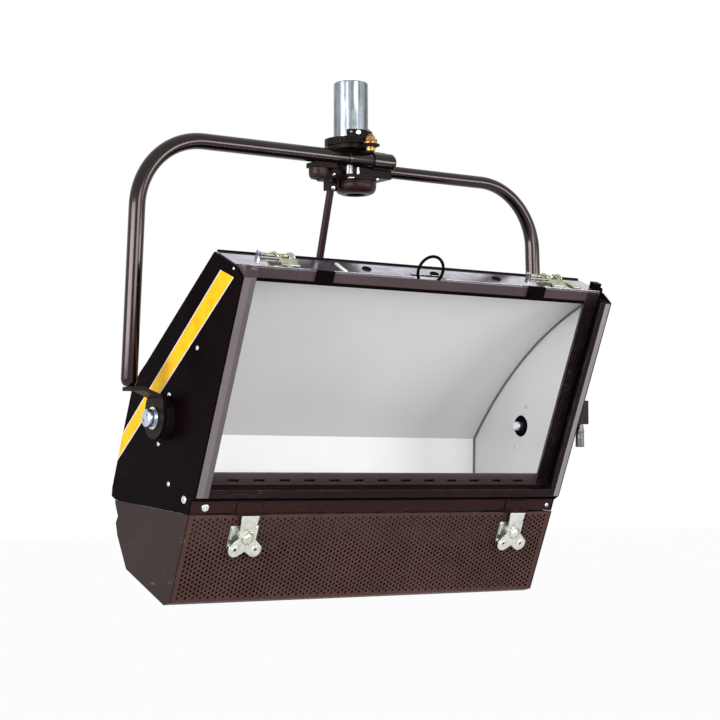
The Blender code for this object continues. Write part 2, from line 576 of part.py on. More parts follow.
def build_clip(spring, name):
    """Spring clip on the top panel. Local origin on its hinge."""
    leaf = [(0.0000, 0.0008), (-0.0140, 0.0085), (-0.0270, 0.0035), (-0.0360, -0.0018), (-0.0375, -0.0008)]
    part(f"top_clip_{name}", "zinc", spring, rod(0.0024, -0.019, 0.019, (0, 0, 0), "X", 14),
         adds=[prism(folded(leaf, 0.0011, -1), -0.017, 0.017)])


def main():
    """Build the whole light."""
    clear_scene()
    build_spigot()
    yoke = empty("yoke_axis", (0, 0, 0))
    build_saddle(yoke)
    build_yoke(yoke)
    build_cups(empty("pan_drive", (*PAN_CUP, 0), yoke), empty("tilt_drive", (*TILT_CUP, 0), yoke))
    drop = ROD_PIN - ROD_TOP
    lean = math.atan2(drop.y, -drop.z)
    build_rod(empty("rod_swing", ROD_TOP, yoke, (lean, 0, 0)))
    head = empty("head_axis", PIVOT, yoke, (TILT, 0, 0))
    build_shell(head)
    build_optics(head)
    build_lug(head)
    build_fittings(head)
    build_side_catch(empty("side_catch", (0.2842, -0.0964, 0.0417), head, (-TILT, 0, 0)))
    door = empty("door_hinge", (0, *HINGE), head)
    build_door(door)
    for x, name in zip(LATCH_X, ("left", "right")):
        build_latch(empty(f"latch_axis_{name}", (x, -HINGE[0], LATCH_W - HINGE[1]), door), name)
    frame = empty("frame_slide", (0, 0, 0), head)
    build_frame(frame, empty("ring_axis", (0, *RING_AXIS), frame))
    for x, name in zip(CLIP_X, ("left", "right")):
        build_clip(empty(f"clip_axis_{name}", (x, -0.0420, 0.2235), head), name)


main()
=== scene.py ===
"""Looks of the hanging soft light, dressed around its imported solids.

Lengths are in metres in the frame of the solids. The head's pieces are made in the head's own frame, with x
across, y to the back and z up its face, and one matrix carries them to their place. Each piece rides on a
body by name. An outline is a list of pairs, and the profile of a turned body a list of radius and height.
"""
from __future__ import annotations

import logging
import math
from collections import Counter
from dataclasses import dataclass, field
from enum import Enum
from functools import cached_property, reduce
from typing import Optional, Sequence, Union

import bmesh
import bpy
from mathutils import Matrix, Vector


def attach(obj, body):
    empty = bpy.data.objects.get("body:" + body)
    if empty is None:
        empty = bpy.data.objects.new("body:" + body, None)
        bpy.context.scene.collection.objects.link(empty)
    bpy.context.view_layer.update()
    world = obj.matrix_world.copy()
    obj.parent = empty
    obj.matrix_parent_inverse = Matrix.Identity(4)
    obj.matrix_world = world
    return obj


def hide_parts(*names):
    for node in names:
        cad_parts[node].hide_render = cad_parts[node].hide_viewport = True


log = logging.getLogger("soft_light")

Pair = tuple[float, float]
Triple = tuple[float, float, float]
Line = Sequence[Pair]
Value = Union["Sock", float, Triple]

# The head's frame at rest, from its tilt and the pivot bolts' middle, and the solids' own frame
TILT = math.radians(23.4)
PIVOT = Vector((0.0, -0.012, -0.44))
HEAD = Matrix.Translation(PIVOT) @ Matrix.Rotation(TILT, 4, "X")
ROW = Matrix.Identity(4)

# Thickness of the panels, and half of the head's width over and between its end plates
SHEET = 0.0012
HALF = 0.275
INNER = 0.2725

FRONT = (0.0, -1.0, 0.0)
SIDES = ((-1, "left"), (1, "right"))
TINY = 1e-6
BRIGHTEST = 0.95


def shade(code: str) -> Triple:
    """Linear colour of a six-digit hex code."""
    values = [int(code[i:i + 2], 16) / 255 for i in (0, 2, 4)]
    return tuple(v / 12.92 if v <= 0.04045 else ((v + 0.055) / 1.055) ** 2.4 for v in values)


def toned(colour: Triple, factor: float, added: float = 0.0) -> Triple:
    """Lighter or darker colour."""
    return tuple(min(c * factor + added, BRIGHTEST) for c in colour)


class Axis(Enum):
    """Direction that an outline is pushed along, as the places of its three values."""

    X = (1, 2, 0)
    Y = (0, 2, 1)
    Z = (0, 1, 2)

    def place(self, a: float, b: float, along: float) -> Vector:
        """Point from two values in the outline and one along the axis."""
        values = dict(zip(self.value, (a, b, along)))
        return Vector([values[i] for i in range(3)])


class Drive(Enum):
    """Recess in a fastener's head."""

    NONE = "none"
    CROSS = "cross"
    HEX = "hex"


@dataclass
class Solid:
    """Points and faces of one closed body, or of several."""

    points: list[Vector] = field(default_factory=list)
    faces: list[tuple[int, ...]] = field(default_factory=list)

    def __add__(self, other: Solid) -> Solid:
        """Both bodies in one."""
        moved = [tuple(i + len(self.points) for i in loop) for loop in other.faces]
        return Solid(self.points + other.points, self.faces + moved)

    def at(self, matrix: Matrix) -> Solid:
        """The body carried by a matrix."""
        return Solid([matrix @ p for p in self.points], self.faces)

    def shifted(self, x: float = 0.0, y: float = 0.0, z: float = 0.0) -> Solid:
        """The body moved along the axes."""
        return self.at(Matrix.Translation((x, y, z)))

    def work(self) -> bmesh.types.BMesh:
        """Open the body for editing.

        Returns:
            An editable mesh with its faces outwards.
        """
        made = bmesh.new()
        corners = [made.verts.new(p) for p in self.points]
        for loop in self.faces:
            made.faces.new([corners[i] for i in loop])
        bmesh.ops.recalc_face_normals(made, faces=made.faces)
        return made

    def eased(self, width: float, limit: float = 30.0) -> Solid:
        """Round the sharp edges.

        Args:
            width: Width of the rounding.
            limit: Smallest angle in degrees that counts as sharp.

        Returns:
            The rounded body.
        """
        made = self.work()
        sharp = [e for e in made.edges
                 if len(e.link_faces) == 2 and e.calc_face_angle(0) > math.radians(limit)]
        bmesh.ops.bevel(made, geom=sharp, offset=width, segments=2, profile=0.5, affect="EDGES",
                        clamp_overlap=True)
        made.verts.index_update()
        solid = Solid([v.co.copy() for v in made.verts],
                      [tuple(v.index for v in f.verts) for f in made.faces])
        made.free()
        return solid

    def mesh(self, name: str) -> bpy.types.Mesh:
        """Turn the body into a mesh with its faces outwards.

        Args:
            name: The mesh's name.

        Returns:
            The mesh.
        """
        made = self.work()
        mesh = bpy.data.meshes.new(name)
        made.to_mesh(mesh)
        made.free()
        return mesh

    def less(self, cutter: Solid) -> Solid:
        """Cut another body out of this one.

        Args:
            cutter: Closed body that is taken away.

        Returns:
            The body with its cut-outs.
        """
        both = [bpy.data.objects.new("cutting", solid.mesh("cutting")) for solid in (self, cutter)]
        for made in both:
            bpy.context.scene.collection.objects.link(made)
        step = both[0].modifiers.new("cut", "BOOLEAN")
        step.operation, step.solver, step.object = "DIFFERENCE", "EXACT", both[1]
        shown = both[0].evaluated_get(bpy.context.evaluated_depsgraph_get())
        result = bpy.data.meshes.new_from_object(shown)
        solid = Solid([v.co.copy() for v in result.vertices], [tuple(p.vertices) for p in result.polygons])
        for made in both:
            bpy.data.objects.remove(made, do_unlink=True)
        return solid


def oblong(x: Pair, y: Pair) -> list[Pair]:
    """Outline of a rectangle between limits on two axes."""
    return [(x[0], y[0]), (x[1], y[0]), (x[1], y[1]), (x[0], y[1])]


def prism(outline: Line, low: float, high: float, axis: Axis = Axis.X) -> Solid:
    """Push an outline along an axis.

    Args:
        outline: Corners in the plane across the axis.
        low: Where the body starts on the axis.
        high: Where it ends.
        axis: The axis.

    Returns:
        The closed body.
    """
    count = len(outline)
    points = [axis.place(a, b, level) for level in (low, high) for a, b in outline]
    sides = [(i, (i + 1) % count, (i + 1) % count + count, i + count) for i in range(count)]
    return Solid(points, [tuple(range(count)), tuple(range(count, 2 * count))] + sides)


def box(x: Pair, y: Pair, z: Pair) -> Solid:
    """Block between limits on each axis."""
    return prism(oblong(x, y), *z, Axis.Z)


def spokes(sides: int) -> list[Pair]:
    """Cosine and sine at even turns round a circle."""
    return [(math.cos(math.tau * k / sides), math.sin(math.tau * k / sides)) for k in range(sides)]


def bands(rings: int, sides: int, closed: bool) -> list[tuple[int, ...]]:
    """Join rings of points by faces.

    Args:
        rings: Number of rings, whose points follow each other.
        sides: Points on each ring.
        closed: Whether the last ring joins the first.

    Returns:
        The faces.
    """
    faces: list[tuple[int, ...]] = []
    for i in range(rings if closed else rings - 1):
        a, b = i * sides, (i + 1) % rings * sides
        faces += [(a + k, a + (k + 1) % sides, b + (k + 1) % sides, b + k) for k in range(sides)]
    return faces


def turned(profile: Line, sides: int = 32, matrix: Matrix = ROW) -> Solid:
    """Turn a profile about +Z.

    Args:
        profile: Radius and height from one end to the other.
        sides: Faces round the axis.
        matrix: Place of the body.

    Returns:
        The body, closed at both ends.
    """
    points: list[Vector] = []
    rings: list[list[int]] = []
    for radius, height in profile:
        ring = spokes(sides) if radius > TINY else [(0.0, 0.0)]
        rings.append([len(points) + k for k in range(len(ring))])
        points += [matrix @ Vector((radius * c, radius * s, height)) for c, s in ring]
    faces: list[tuple[int, ...]] = []
    for low, high in zip(rings, rings[1:]):
        for k in range(sides):
            a, b, c, d = (ring[turn % len(ring)] for ring in (low, high) for turn in (k, k + 1))
            faces.append(tuple(dict.fromkeys((a, b, d, c))))
    faces += [tuple(ring) for ring in (rings[0], rings[-1]) if len(ring) > 1]
    return Solid(points, faces)


def bored(profile: Line, hole: float, sides: int = 32, matrix: Matrix = ROW) -> Solid:
    """Turn a ring about +Z.

    Args:
        profile: Radius and height of its outside.
        hole: Radius of the straight hole through it.
        sides: Faces round the axis.
        matrix: Place of the ring.

    Returns:
        The closed ring.
    """
    loop = [*profile, (hole, profile[-1][1]), (hole, profile[0][1])]
    points = [matrix @ Vector((r * c, r * s, h)) for r, h in loop for c, s in spokes(sides)]
    return Solid(points, bands(len(loop), sides, True))


def tube(path: Sequence[Vector], radii: Union[float, Sequence[float]], sides: int = 16,
         closed: bool = False) -> Solid:
    """Run a round bar along a path that doesn't start along y.

    Args:
        path: Points of the middle line.
        radii: One radius, or one at each point.
        sides: Faces round the bar.
        closed: Whether the path is a loop.

    Returns:
        The closed body.
    """
    count = len(path)
    radius = [radii] * count if isinstance(radii, float) else radii
    points: list[Vector] = []
    side = Vector((0.0, 1.0, 0.0))
    for i, point in enumerate(path):
        ahead = path[(i + 1) % count] if closed else path[min(i + 1, count - 1)]
        behind = path[i - 1] if closed else path[max(i - 1, 0)]
        along = (ahead - behind).normalized()
        side = (side - along * side.dot(along)).normalized()
        across = along.cross(side)
        points += [point + (side * c + across * s) * radius[i] for c, s in spokes(sides)]
    faces = bands(count, sides, closed)
    if not closed:
        faces += [tuple(range(sides)), tuple(range((count - 1) * sides, count * sides))]
    return Solid(points, faces)


def arc(centre: Pair, radius: float, start: float, end: float, steps: int) -> list[Pair]:
    """Points on an arc, with its angles in degrees."""
    turns = [math.radians(start + (end - start) * i / steps) for i in range(steps + 1)]
    return [(centre[0] + radius * math.cos(a), centre[1] + radius * math.sin(a)) for a in turns]


def beside(path: Line, distance: float) -> list[Pair]:
    """Move a path to its left, with mitred corners.

    Args:
        path: Points of the path.
        distance: How far it moves; negative is to the right.

    Returns:
        The points of the moved path.
    """
    spots = [Vector(p) for p in path]
    normals = [Vector((-(b - a).y, (b - a).x)).normalized() for a, b in zip(spots, spots[1:])]
    out = []
    for i, spot in enumerate(spots):
        before, after = normals[max(i - 1, 0)], normals[min(i, len(normals) - 1)]
        mitre = (before + after).normalized()
        out.append(tuple(spot + mitre * (distance / mitre.dot(before))))
    return out


def folded(path: Line, thick: float = SHEET) -> list[Pair]:
    """Outline of a folded sheet to the left of a path, or to its right if thick is negative."""
    return [*path, *reversed(beside(path, thick))]


def seat(point: Sequence[float], outward: Sequence[float], spin: float = 0.0) -> Matrix:
    """Matrix that stands a body made on +Z at a point, facing outward and turned by spin degrees."""
    turn = Vector(outward).to_track_quat("Z", "Y").to_matrix().to_4x4()
    return Matrix.Translation(point) @ turn @ Matrix.Rotation(math.radians(spin), 4, "Z")


@dataclass(frozen=True)
class Fastener:
    """Screw or rivet head, made on +Z; its dome and recess are shares of its radius and height."""

    radius: float
    height: float
    drive: Drive = Drive.NONE
    sunk: float = 0.0001
    dome: Line = ((1.0, 0.12), (0.97, 0.42), (0.84, 0.72), (0.6, 0.92), (0.3, 0.99), (0.0, 1.0))
    recess: Pair = (0.35, 1.5)
    foot: float = 0.93
    cross: Pair = (0.5, 0.1)
    socket: float = 0.45
    first_turn: float = 20.0
    turn_between: float = 37.0

    @cached_property
    def solid(self) -> Solid:
        """Turn the head and cut its recess.

        Returns:
            The head.
        """
        r, h = self.radius, self.height
        head = turned([(r * self.foot, -self.sunk)] + [(r * a, h * b) for a, b in self.dome], 20)
        low, high = (h * share for share in self.recess)
        if self.drive is Drive.CROSS:
            long, thin = ((-r * share, r * share) for share in self.cross)
            head = head.less(box(long, thin, (low, high))).less(box(thin, long, (low, high)))
        if self.drive is Drive.HEX:
            head = head.less(turned([(r * self.socket, low), (r * self.socket, high)], 6))
        return head

    def on(self, points: Sequence[Sequence[float]], outward: Sequence[float] = FRONT) -> Solid:
        """Heads at several points that face one way, each turned a little differently."""
        places = [seat(p, outward, self.turn_between * i + self.first_turn) for i, p in enumerate(points)]
        return sum((self.solid.at(place) for place in places), Solid())


class Sock:
    """Output socket that takes part in arithmetic."""

    def __init__(self, graph: Graph, socket: bpy.types.NodeSocket) -> None:
        """Keep the socket and the graph that it belongs to."""
        self.graph = graph
        self.socket = socket

    def __add__(self, other: Value) -> Sock:
        """Sum."""
        return self.graph.maths("ADD", self, other)

    def __mul__(self, other: Value) -> Sock:
        """Product."""
        return self.graph.maths("MULTIPLY", self, other)

    def __sub__(self, other: Value) -> Sock:
        """Difference."""
        return self.graph.maths("SUBTRACT", self, other)

    def __rsub__(self, other: Value) -> Sock:
        """Difference from a number."""
        return self.graph.maths("SUBTRACT", other, self)

    __radd__ = __add__
    __rmul__ = __mul__

    def step(self, low: float, high: float) -> Sock:
        """Smooth rise from 0 at low to 1 at high."""
        return self.graph.node("ShaderNodeMapRange", {"interpolation_type": "SMOOTHSTEP"},
                               {"Value": self, "From Min": low, "From Max": high})

    def line(self, width: float) -> Sock:
        """One on a thin line where the value passes a half, else zero."""
        return 1 - self.graph.maths("ABSOLUTE", self - 0.5).step(width * 0.3, width)


class Graph:
    """Node tree of a material or of the world, written as expressions."""

    def __init__(self, owner: Union[bpy.types.Material, bpy.types.World]) -> None:
        """Turn on the nodes of what the tree belongs to."""
        owner.use_nodes = True
        self.owner, self.tree = owner, owner.node_tree

    @cached_property
    def where(self) -> Sock:
        """The object's own coordinates."""
        return self.node("ShaderNodeTexCoord", output="Object")

    def node(self, kind: str, settings: Optional[dict] = None, values: Optional[dict] = None,
             output: Union[int, str] = 0) -> Sock:
        """Add one node.

        Args:
            kind: The node's type.
            settings: Its settings, which are set first.
            values: Values or links of its sockets, by name or number.
            output: The socket that is returned.

        Returns:
            The chosen output.
        """
        made = self.tree.nodes.new(kind)
        for key, value in (settings or {}).items():
            setattr(made, key, value)
        for key, value in (values or {}).items():
            self.feed(made.inputs[key], value)
        return Sock(self, made.outputs[output])

    def feed(self, socket: bpy.types.NodeSocket, value: Value) -> None:
        """Link or set one input.

        Args:
            socket: The input.
            value: An output to link, a number or a colour.
        """
        if isinstance(value, Sock):
            self.tree.links.new(value.socket, socket)
        else:
            socket.default_value = (*value, 1.0) if socket.type == "RGBA" else value

    def fill(self, node: str, **sockets: Value) -> Union[bpy.types.Material, bpy.types.World]:
        """Feed inputs of a node that the tree starts with.

        Args:
            node: The node's name.
            **sockets: Its inputs, with underscores for spaces.

        Returns:
            The material or world.
        """
        for name, value in sockets.items():
            title = name.replace("_", " ").title().replace("Ior", "IOR")
            self.feed(self.tree.nodes[node].inputs[title], value)
        return self.owner

    def maths(self, operation: str, *values: Value) -> Sock:
        """Math node on one or two values."""
        return self.node("ShaderNodeMath", {"operation": operation}, dict(enumerate(values)))

    def blend(self, first: Value, second: Value, factor: Value) -> Sock:
        """Colour between two others."""
        return self.node("ShaderNodeMix", {"data_type": "RGBA"}, {0: factor, 6: first, 7: second}, 2)

    def noise(self, scale: float, detail: float = 3.0, rough: float = 0.5,
              stretch: Triple = (1.0, 1.0, 1.0)) -> Sock:
        """Cloudy value at a number of features in a metre, stretched along the axes."""
        place = self.node("ShaderNodeVectorMath", {"operation": "MULTIPLY"}, {0: self.where, 1: stretch})
        return self.node("ShaderNodeTexNoise", values={"Vector": place, "Scale": scale, "Detail": detail,
                                                       "Roughness": rough})

    def cells(self, scale: float) -> Sock:
        """Patchwork value at a number of cells in a metre."""
        split = self.node("ShaderNodeTexVoronoi", {"feature": "F1"}, {"Vector": self.where, "Scale": scale},
                          "Color")
        return self.node("ShaderNodeSeparateColor", values={0: split})

    def rounded(self, radius: float) -> Sock:
        """Normal with the edges rounded over."""
        return self.node("ShaderNodeBevel", {"samples": 6}, {"Radius": radius})

    def edges(self, rounded: Sock) -> Sock:
        """One on edges, zero on flat faces.

        Args:
            rounded: Normal with the edges rounded over.

        Returns:
            The mask.
        """
        flat = self.node("ShaderNodeNewGeometry", output="Normal")
        product = {"operation": "DOT_PRODUCT"}
        same = self.node("ShaderNodeVectorMath", product, {0: rounded, 1: flat}, "Value")
        return (1 - same).step(0.01, 0.16)

    def upward(self) -> Sock:
        """One on faces that look up, zero on the others."""
        normal = self.node("ShaderNodeNewGeometry", output="Normal")
        return self.node("ShaderNodeSeparateXYZ", values={0: normal}, output="Z").step(0.3, 0.95)

    def bump(self, height: Value, distance: float, normal: Sock) -> Sock:
        """Normal with a relief on it."""
        values = {"Height": height, "Distance": distance, "Normal": normal}
        return self.node("ShaderNodeBump", values=values)

    def rays(self, *kinds: str) -> Sock:
        """One where the ray is of a named kind, else zero."""
        found = [self.node("ShaderNodeLightPath", output=f"Is {kind} Ray") for kind in kinds]
        return reduce(lambda one, other: self.maths("MAXIMUM", one, other), found)


@dataclass(frozen=True)
class Finish:
    """Finish with hex codes for its main colour and its marks; its kinds carry a material slot name."""

    name: str
    code: str
    mark_code: str

    @property
    def colour(self) -> Triple:
        """The main colour."""
        return shade(self.code)

    @property
    def marks(self) -> Triple:
        """The colour of worn, stained or patchy places."""
        return shade(self.mark_code)

    @cached_property
    def material(self) -> bpy.types.Material:
        """The finish's material."""
        g = Graph(bpy.data.materials.new(self.name))
        return g.fill("Principled BSDF", **self.look(g))

    def look(self, g: Graph) -> dict[str, Value]:
        """Values of the shader's sockets, which each kind of finish works out in its own way."""
        raise NotImplementedError


@dataclass(frozen=True)
class Paint(Finish):
    """Sprayed coat on metal, with orange peel, scratches, dust and worn edges."""

    roughness: float = 0.3
    peel: float = 0.00003
    dust: float = 0.12
    wear: float = 0.35
    shine: float = 0.2
    tint: Triple = (1.0, 1.0, 1.0)
    dust_colour: Triple = (0.3, 0.28, 0.26)
    slot: str = "black_paint"

    def look(self, g: Graph) -> dict[str, Value]:
        """Work out the coat's sockets.

        Args:
            g: The material's graph.

        Returns:
            The sockets' values.
        """
        rounded = g.rounded(0.0006)
        broad, fine, cloud = g.noise(7, 3), g.noise(750, 2), g.noise(45, 5, 0.62)
        scratch = g.noise(16, 2, 0.4, (1.0, 0.35, 1.6)).line(0.0022) * g.noise(5, 2).step(0.52, 0.64)
        worn = g.edges(rounded) * cloud.step(0.38, 0.66) * self.wear
        settled = (g.noise(420, 3).step(0.52, 0.78) * cloud.step(0.4, 0.7) + g.upward() * 0.5) * self.dust
        base = g.blend(self.colour, toned(self.colour, 1.3, 0.001), broad.step(0.3, 0.75))
        base = g.blend(base, self.dust_colour, settled)
        return {
            "base_color": g.blend(base, self.marks, worn + scratch * 0.35),
            "roughness": self.roughness + (cloud - 0.5) * 0.16 + settled * 0.5 + scratch * 0.12,
            "specular_ior_level": self.shine,
            "specular_tint": self.tint,
            "normal": g.bump(fine + cloud * 0.6, self.peel, rounded),
        }


@dataclass(frozen=True)
class Metal(Finish):
    """Bare or plated metal with drawn lines, patches and a painted highlight along its edges."""

    roughness: float = 0.3
    spangle: float = 0.0
    drawn: Triple = (1.0, 1.0, 14.0)
    metallic: float = 1.0
    relief: float = 0.00002
    streak: float = 0.0
    slot: str = "steel"

    def look(self, g: Graph) -> dict[str, Value]:
        """Work out the metal's sockets.

        Args:
            g: The material's graph.

        Returns:
            The sockets' values.
        """
        rounded = g.rounded(0.0004)
        lines, cloud, pits = g.noise(150, 3, 0.6, self.drawn), g.noise(60, 4, 0.6), g.noise(700, 3)
        tone = cloud.step(0.35, 0.68)
        if self.spangle:
            tone = tone * 0.45 + g.cells(self.spangle) * 0.55
        if self.streak:
            tone = tone * (1 - self.streak) + lines.step(0.42, 0.6) * self.streak
        base = g.blend(self.colour, self.marks, tone)
        base = g.blend(base, toned(self.marks, 0.35), pits.step(0.66, 0.8) * 0.5)
        return {
            # Edges are painted lighter: a painted highlight along them.
            "base_color": g.blend(base, toned(self.colour, 1.25), g.edges(rounded) * 0.6),
            "metallic": self.metallic,
            "roughness": self.roughness * (0.7 + lines * 0.6 + tone * 0.3),
            "normal": g.bump(lines * 0.7 + pits * 0.3, self.relief, rounded),
        }


@dataclass(frozen=True)
class Enamel(Finish):
    """Matt white coat that spreads the light, a little grey and warm in places."""

    roughness: float = 0.55
    speck: Triple = (0.35, 0.33, 0.31)
    slot: str = "white_enamel"

    def look(self, g: Graph) -> dict[str, Value]:
        """Work out the coat's sockets.

        Args:
            g: The material's graph.

        Returns:
            The sockets' values.
        """
        broad, cloud, grain = g.noise(4, 3), g.noise(22, 5, 0.6), g.noise(1100, 2)
        smear = g.noise(12, 4, 0.55, (0.4, 1.0, 3.0)).step(0.6, 0.75)
        base = g.blend(self.colour, self.marks, broad.step(0.35, 0.75) * 0.7 + smear * 0.12)
        return {
            "base_color": g.blend(base, self.speck, g.noise(300, 3).step(0.72, 0.8) * 0.3),
            "roughness": self.roughness + (cloud - 0.5) * 0.2,
            "normal": g.bump(grain + cloud * 0.4, 0.00003, g.rounded(0.0005)),
        }


@dataclass(frozen=True)
class Moulding(Finish):
    """Rubber or ceramic with a fine grain."""

    roughness: float = 0.7
    shine: float = 0.4
    slot: str = "rubber"

    def look(self, g: Graph) -> dict[str, Value]:
        """Work out the moulding's sockets.

        Args:
            g: The material's graph.

        Returns:
            The sockets' values.
        """
        cloud, grain = g.noise(70, 5, 0.6), g.noise(1500, 3)
        return {
            "base_color": g.blend(self.colour, self.marks, cloud.step(0.4, 0.7)),
            "roughness": self.roughness + (grain - 0.5) * 0.2,
            "specular_ior_level": self.shine,
            "normal": g.bump(grain, 0.00006, g.rounded(0.0005)),
        }


@dataclass(frozen=True)
class Quartz(Finish):
    """Clear glass of the lamps, with a slight haze."""

    index: float = 1.46
    slot: str = "glass"

    def look(self, g: Graph) -> dict[str, Value]:
        """Work out the glass's sockets.

        Args:
            g: The material's graph.

        Returns:
            The sockets' values.
        """
        haze = g.noise(90, 4, 0.6)
        return {
            "base_color": g.blend(self.colour, self.marks, haze.step(0.5, 0.8)),
            "roughness": 0.02 + haze.step(0.55, 0.8) * 0.06,
            "transmission_weight": 1.0,
            "ior": self.index,
        }


@dataclass(frozen=True)
class Print(Finish):
    """Printed vinyl of the side stripe."""

    amount: float = 0.6
    shine: float = 0.2
    slot: str = "black_paint"

    def look(self, g: Graph) -> dict[str, Value]:
        """Work out the vinyl's sockets.

        Args:
            g: The material's graph.

        Returns:
            The sockets' values.
        """
        cloud, rub, grain = g.noise(42, 4, 0.6), g.noise(130, 4, 0.65), g.noise(900, 2)
        base = g.blend(self.colour, self.marks, cloud.step(0.45, 0.72) * self.amount)
        return {
            "base_color": g.blend(base, toned(self.marks, 0.45), rub.step(0.68, 0.78) * 0.35),
            "roughness": 0.34 + rub * 0.2,
            "specular_ior_level": self.shine,
            "normal": g.bump(grain + rub, 0.00002, g.rounded(0.0002)),
        }


class Finishes:
    """Every finish of the light."""

    black = Paint("black enamel", "0e0708", "4a4041", 0.16, peel=0.000001, dust=0.01, wear=0.2, shine=0.38,
                  tint=(1.0, 0.84, 0.81))
    casting = Paint("black casting", "120809", "5e4a4a", 0.34, 0.00006, 0.03, 0.5, 0.06)
    plate = Paint("black side plate", "080304", "3e3435", dust=0.012, wear=0.25, shine=0.008)
    rail = Paint("brown rail enamel", "22110f", "7a6863", 0.38, dust=0.04, wear=0.4, shine=0.08)
    # The dark paint also serves as the painted shade of the right channel and of the frame's right edge.
    dark = Paint("dark channel enamel", "12080a", "8c8184", dust=0.03, wear=0.6, shine=0.1)
    frame = Paint("frame enamel", "3a2e31", "7e7476", 0.32, dust=0.04, wear=0.45)
    brown = Paint("brown enamel", "402a27", "8a7a74", 0.4, dust=0.05, wear=0.5, shine=0.1,
                  slot="brown_paint")
    cap = Paint("brown end cap", "241716", "746561", 0.42, dust=0.06, shine=0.1, slot="brown_paint")
    cup = Paint("dark brown cup", "22100f", "5f4c48", 0.36, dust=0.04, wear=0.4, shine=0.14,
                slot="brown_paint")
    # Grey, lip and light are lighter tones of the channels' and frame's paint: painted light on their lit
    # flanges and edges.
    grey = Paint("grey enamel", "5e5658", "a8a0a1", 0.36, dust=0.08, wear=0.45, shine=0.3,
                 slot="grey_paint")
    lip = Paint("grey lip", "4c4749", "8a8587", 0.34, dust=0.05, wear=0.5, shine=0.25, slot="grey_paint")
    light = Paint("light grey edge", "726c6c", "c4bebe", 0.36, dust=0.05, wear=0.4, slot="grey_paint")
    white = Enamel("white enamel", "d3d3d4", "cbc9ca")
    # Grey of the painted shade in the gap between reflector and wall.
    seam = Enamel("grey seam", "6c6d6b", "5c5d5b")
    # The white band is brighter than the reflector's white enamel; on the reflector's lower facet it is
    # painted light.
    band = Enamel("white band", "eeedee", "e6e3e2")
    top = Metal("satin top sheet", "bdb8c6", "a29dac", 0.1, drawn=(0.4, 5.0, 1.0), metallic=0.85,
                relief=0.000003)
    steel = Metal("galvanised pipe", "989fa8", "465049", 0.24, drawn=(0.9, 0.9, 0.04), streak=0.8)
    bright = Metal("bright steel", "e4e6e8", "c2c4c6", 0.2)
    dull = Metal("dull steel", "8e898c", "5a5557")
    wire = Metal("tungsten", "8a857d", "5e5a55", 0.4)
    trough = Metal("trough back", "8a847f", "57504b", 0.45, spangle=70.0)
    brass = Metal("brass", "c09a62", "6e4a28", spangle=300.0)
    zinc = Metal("white zinc plate", "dfe0dc", "b9bbb2", spangle=260.0, slot="zinc")
    gold = Metal("yellow zinc plate", "c2cbbb", "938a5c", spangle=190.0, slot="zinc")
    blue = Metal("blue zinc plate", "c6cfe0", "98a2b8", 0.28, slot="zinc")
    rubber = Moulding("friction lining", "0f0909", "1c1313", 0.75, shine=0.03)
    ceramic = Moulding("ceramic", "e2ddd0", "c9bfab", 0.5, slot="ceramic")
    quartz = Quartz("quartz", "f4f6f4", "e7e7e5")
    yellow = Print("yellow stripe", "e0ac00", "d08000")
    edging = Print("white stripe edge", "ccccda", "b4b4d2", 0.3)


F = Finishes


class Assembly:
    """Sub-assembly of the light, whose pieces ride on one body unless they name another."""

    body = "head"
    place = HEAD

    def piece(self, name: str, solid: Solid, finish: Finish, *nodes: str, slot: str = "", body: str = "",
              angle: float = 32.0) -> None:
        """Make one piece of the light.

        Args:
            name: The piece's name.
            solid: Its shape in the assembly's frame.
            finish: Its finish.
            *nodes: Solids that it stands for.
            slot: Not used.
            body: The body that it rides on, if not the assembly's.
            angle: Smallest angle in degrees that stays a sharp edge.
        """
        mesh = solid.at(self.place).mesh(name)
        mesh.materials.append(finish.material)
        mesh.shade_smooth()
        mesh.set_sharp_from_angle(angle=math.radians(angle))
        made = bpy.data.objects.new(name, mesh)
        bpy.context.scene.collection.objects.link(made)
        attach(made, body or self.body)
        if nodes:
            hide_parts(*nodes)
        log.info("%s: %d faces on %s", name, len(mesh.polygons), body or self.body)

    @staticmethod
    def dress(finish: Finish, *nodes: str) -> None:
        """Give solids that keep their shape a finish."""
        for place in (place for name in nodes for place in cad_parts[name].material_slots):
            place.material = finish.material


@dataclass
class Hanger(Assembly):
    """Pipe stub, toothed pan wheel and collar, with each bolt's turn in degrees and its height."""

    pipe: float = 0.02225
    low: float = -0.074
    collar: float = 0.028
    bolts: Line = ((-123, -0.0684), (-132, -0.08), (-72, -0.0648))
    body = "mount"
    place = ROW

    def build(self) -> None:
        """Make the pipe and the collar's bolts, and dress the wheel."""
        r = self.pipe
        profile = [(r - 0.0006, self.low), (r, self.low + 0.0008), (r, -0.0015), (r - 0.0015, 0.0),
                   (0.004, 0.0), (0.0, -0.003)]
        self.piece("pipe_stub", turned(profile, 72), F.steel, "spigot")
        self.dress(F.casting, "pan_wheel")
        heads = Solid()
        for turn, height in self.bolts:
            out = Vector((math.cos(math.radians(turn)), math.sin(math.radians(turn)), 0.0))
            heads += Fastener(0.002, 0.002, Drive.HEX).on([(*(out * self.collar).xy, height)], out)
        self.piece("collar_bolts", heads, F.dull)
        self.dress(F.bright, "collar_screw")


